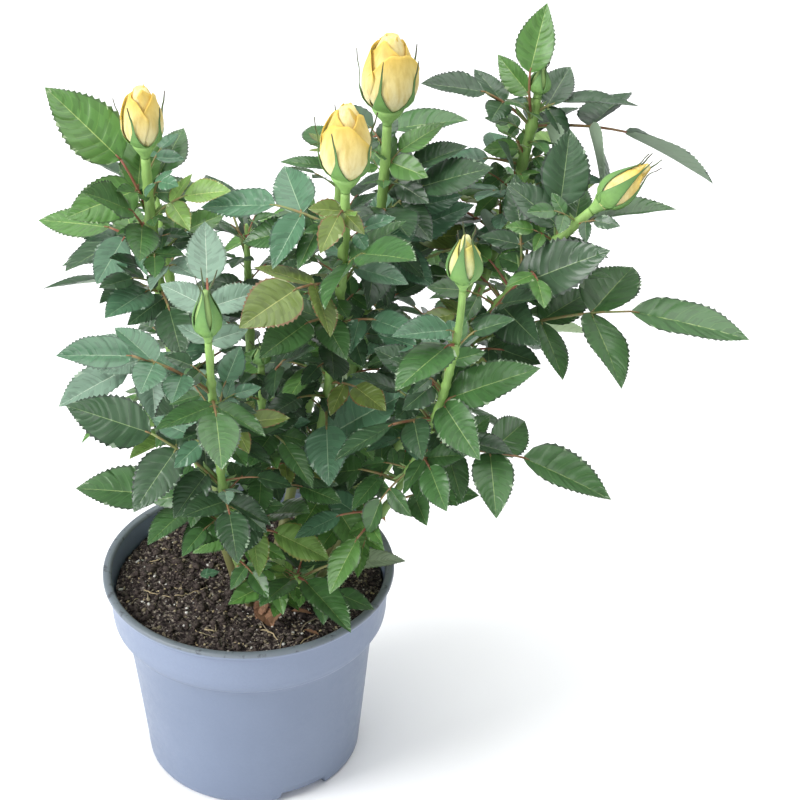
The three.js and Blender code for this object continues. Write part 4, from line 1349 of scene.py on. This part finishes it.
def lump_skin(name, roughness, dark, pale):
    made = Nodes(name, roughness, 0.25)
    fleck = made.noise(900, 4)
    made.colour(made.ramp(fleck, (0.35, dark), (0.65, pale)))
    made.bump(fleck, 0.0004, 0.6)
    return made.material


lump_skins = [lump_skin(name, *kind[4:]) for name, kind in KINDS.items()]
soil_sheet.build("compost_top", [earth.material] + lump_skins, "compost", ["compost"])

# ---- floor, light and camera

CAMERA_LIFT, CAMERA_ROLL = 32.5, 0.4
FOCAL = 2345 / 800  # the focal length as a share of the picture's width
AIM = Vector((0.067, 0, 0.1855))
# Each light's place and target, its diameter in metres and its power in watts.
LIGHTS = {
    "key": ((-1.6, -0.7, 1.4), (0.05, 0, 0.15), 1.2, 44),
    "front": ((-1.2, -2.0, 0.9), (0.05, 0, 0.15), 1.6, 12),
    "overhead": ((0.4, 0.5, 2.2), (0.05, 0, 0.1), 3.0, 56),
}
SKY, SKY_STRENGTH = (0.96, 0.98, 1.0, 1.0), 0.5


def stage():
    """A plain floor just under the pot."""
    floor = bpy.data.meshes.new("floor")
    corners = [(x, y, -0.0006) for x, y in ((-4, -4), (4, -4), (4, 6), (-4, 6))]
    floor.from_pydata(corners, [], [(0, 1, 2, 3)])
    made = bpy.data.objects.new("floor", floor)
    bpy.context.scene.collection.objects.link(made)
    floor.materials.append(plain("floor", (252, 252, 253), 0.8, 0.1))


def light(name, place, target, size, power):
    """A round soft light at a place, facing its target."""
    lamp = bpy.data.lights.new(name, "AREA")
    lamp.shape, lamp.size, lamp.energy = "DISK", size, power
    made = bpy.data.objects.new(name, lamp)
    made.location = place
    made.rotation_euler = (Vector(target) - Vector(place)).to_track_quat("-Z", "Y").to_euler()
    bpy.context.scene.collection.objects.link(made)


def camera():
    """The camera stands one metre from what it aims at."""
    lift, roll = math.radians(CAMERA_LIFT), math.radians(CAMERA_ROLL)
    back = Vector((0, -math.cos(lift), math.sin(lift)))
    right = Vector((1, 0, 0))
    up = right.cross(-back)
    across = math.cos(roll) * right + math.sin(roll) * up
    upward = -math.sin(roll) * right + math.cos(roll) * up
    lens = bpy.data.cameras.new("camera")
    lens.sensor_width, lens.lens = 36.0, 36.0 * FOCAL
    lens.clip_start, lens.clip_end = 0.05, 50
    made = bpy.data.objects.new("camera", lens)
    place = Matrix((across, upward, back)).transposed().to_4x4()
    place.translation = AIM + back
    made.matrix_world = place
    bpy.context.scene.collection.objects.link(made)
    bpy.context.scene.camera = made


stage()
for name, values in LIGHTS.items():
    light(name, *values)
camera()
world = bpy.data.worlds.new("studio")
bpy.context.scene.world = world
world.use_nodes = True
sky = world.node_tree.nodes["Background"]
sky.inputs["Color"].default_value = SKY
sky.inputs["Strength"].default_value = SKY_STRENGTH
bpy.context.scene.view_settings.view_transform = "Standard"
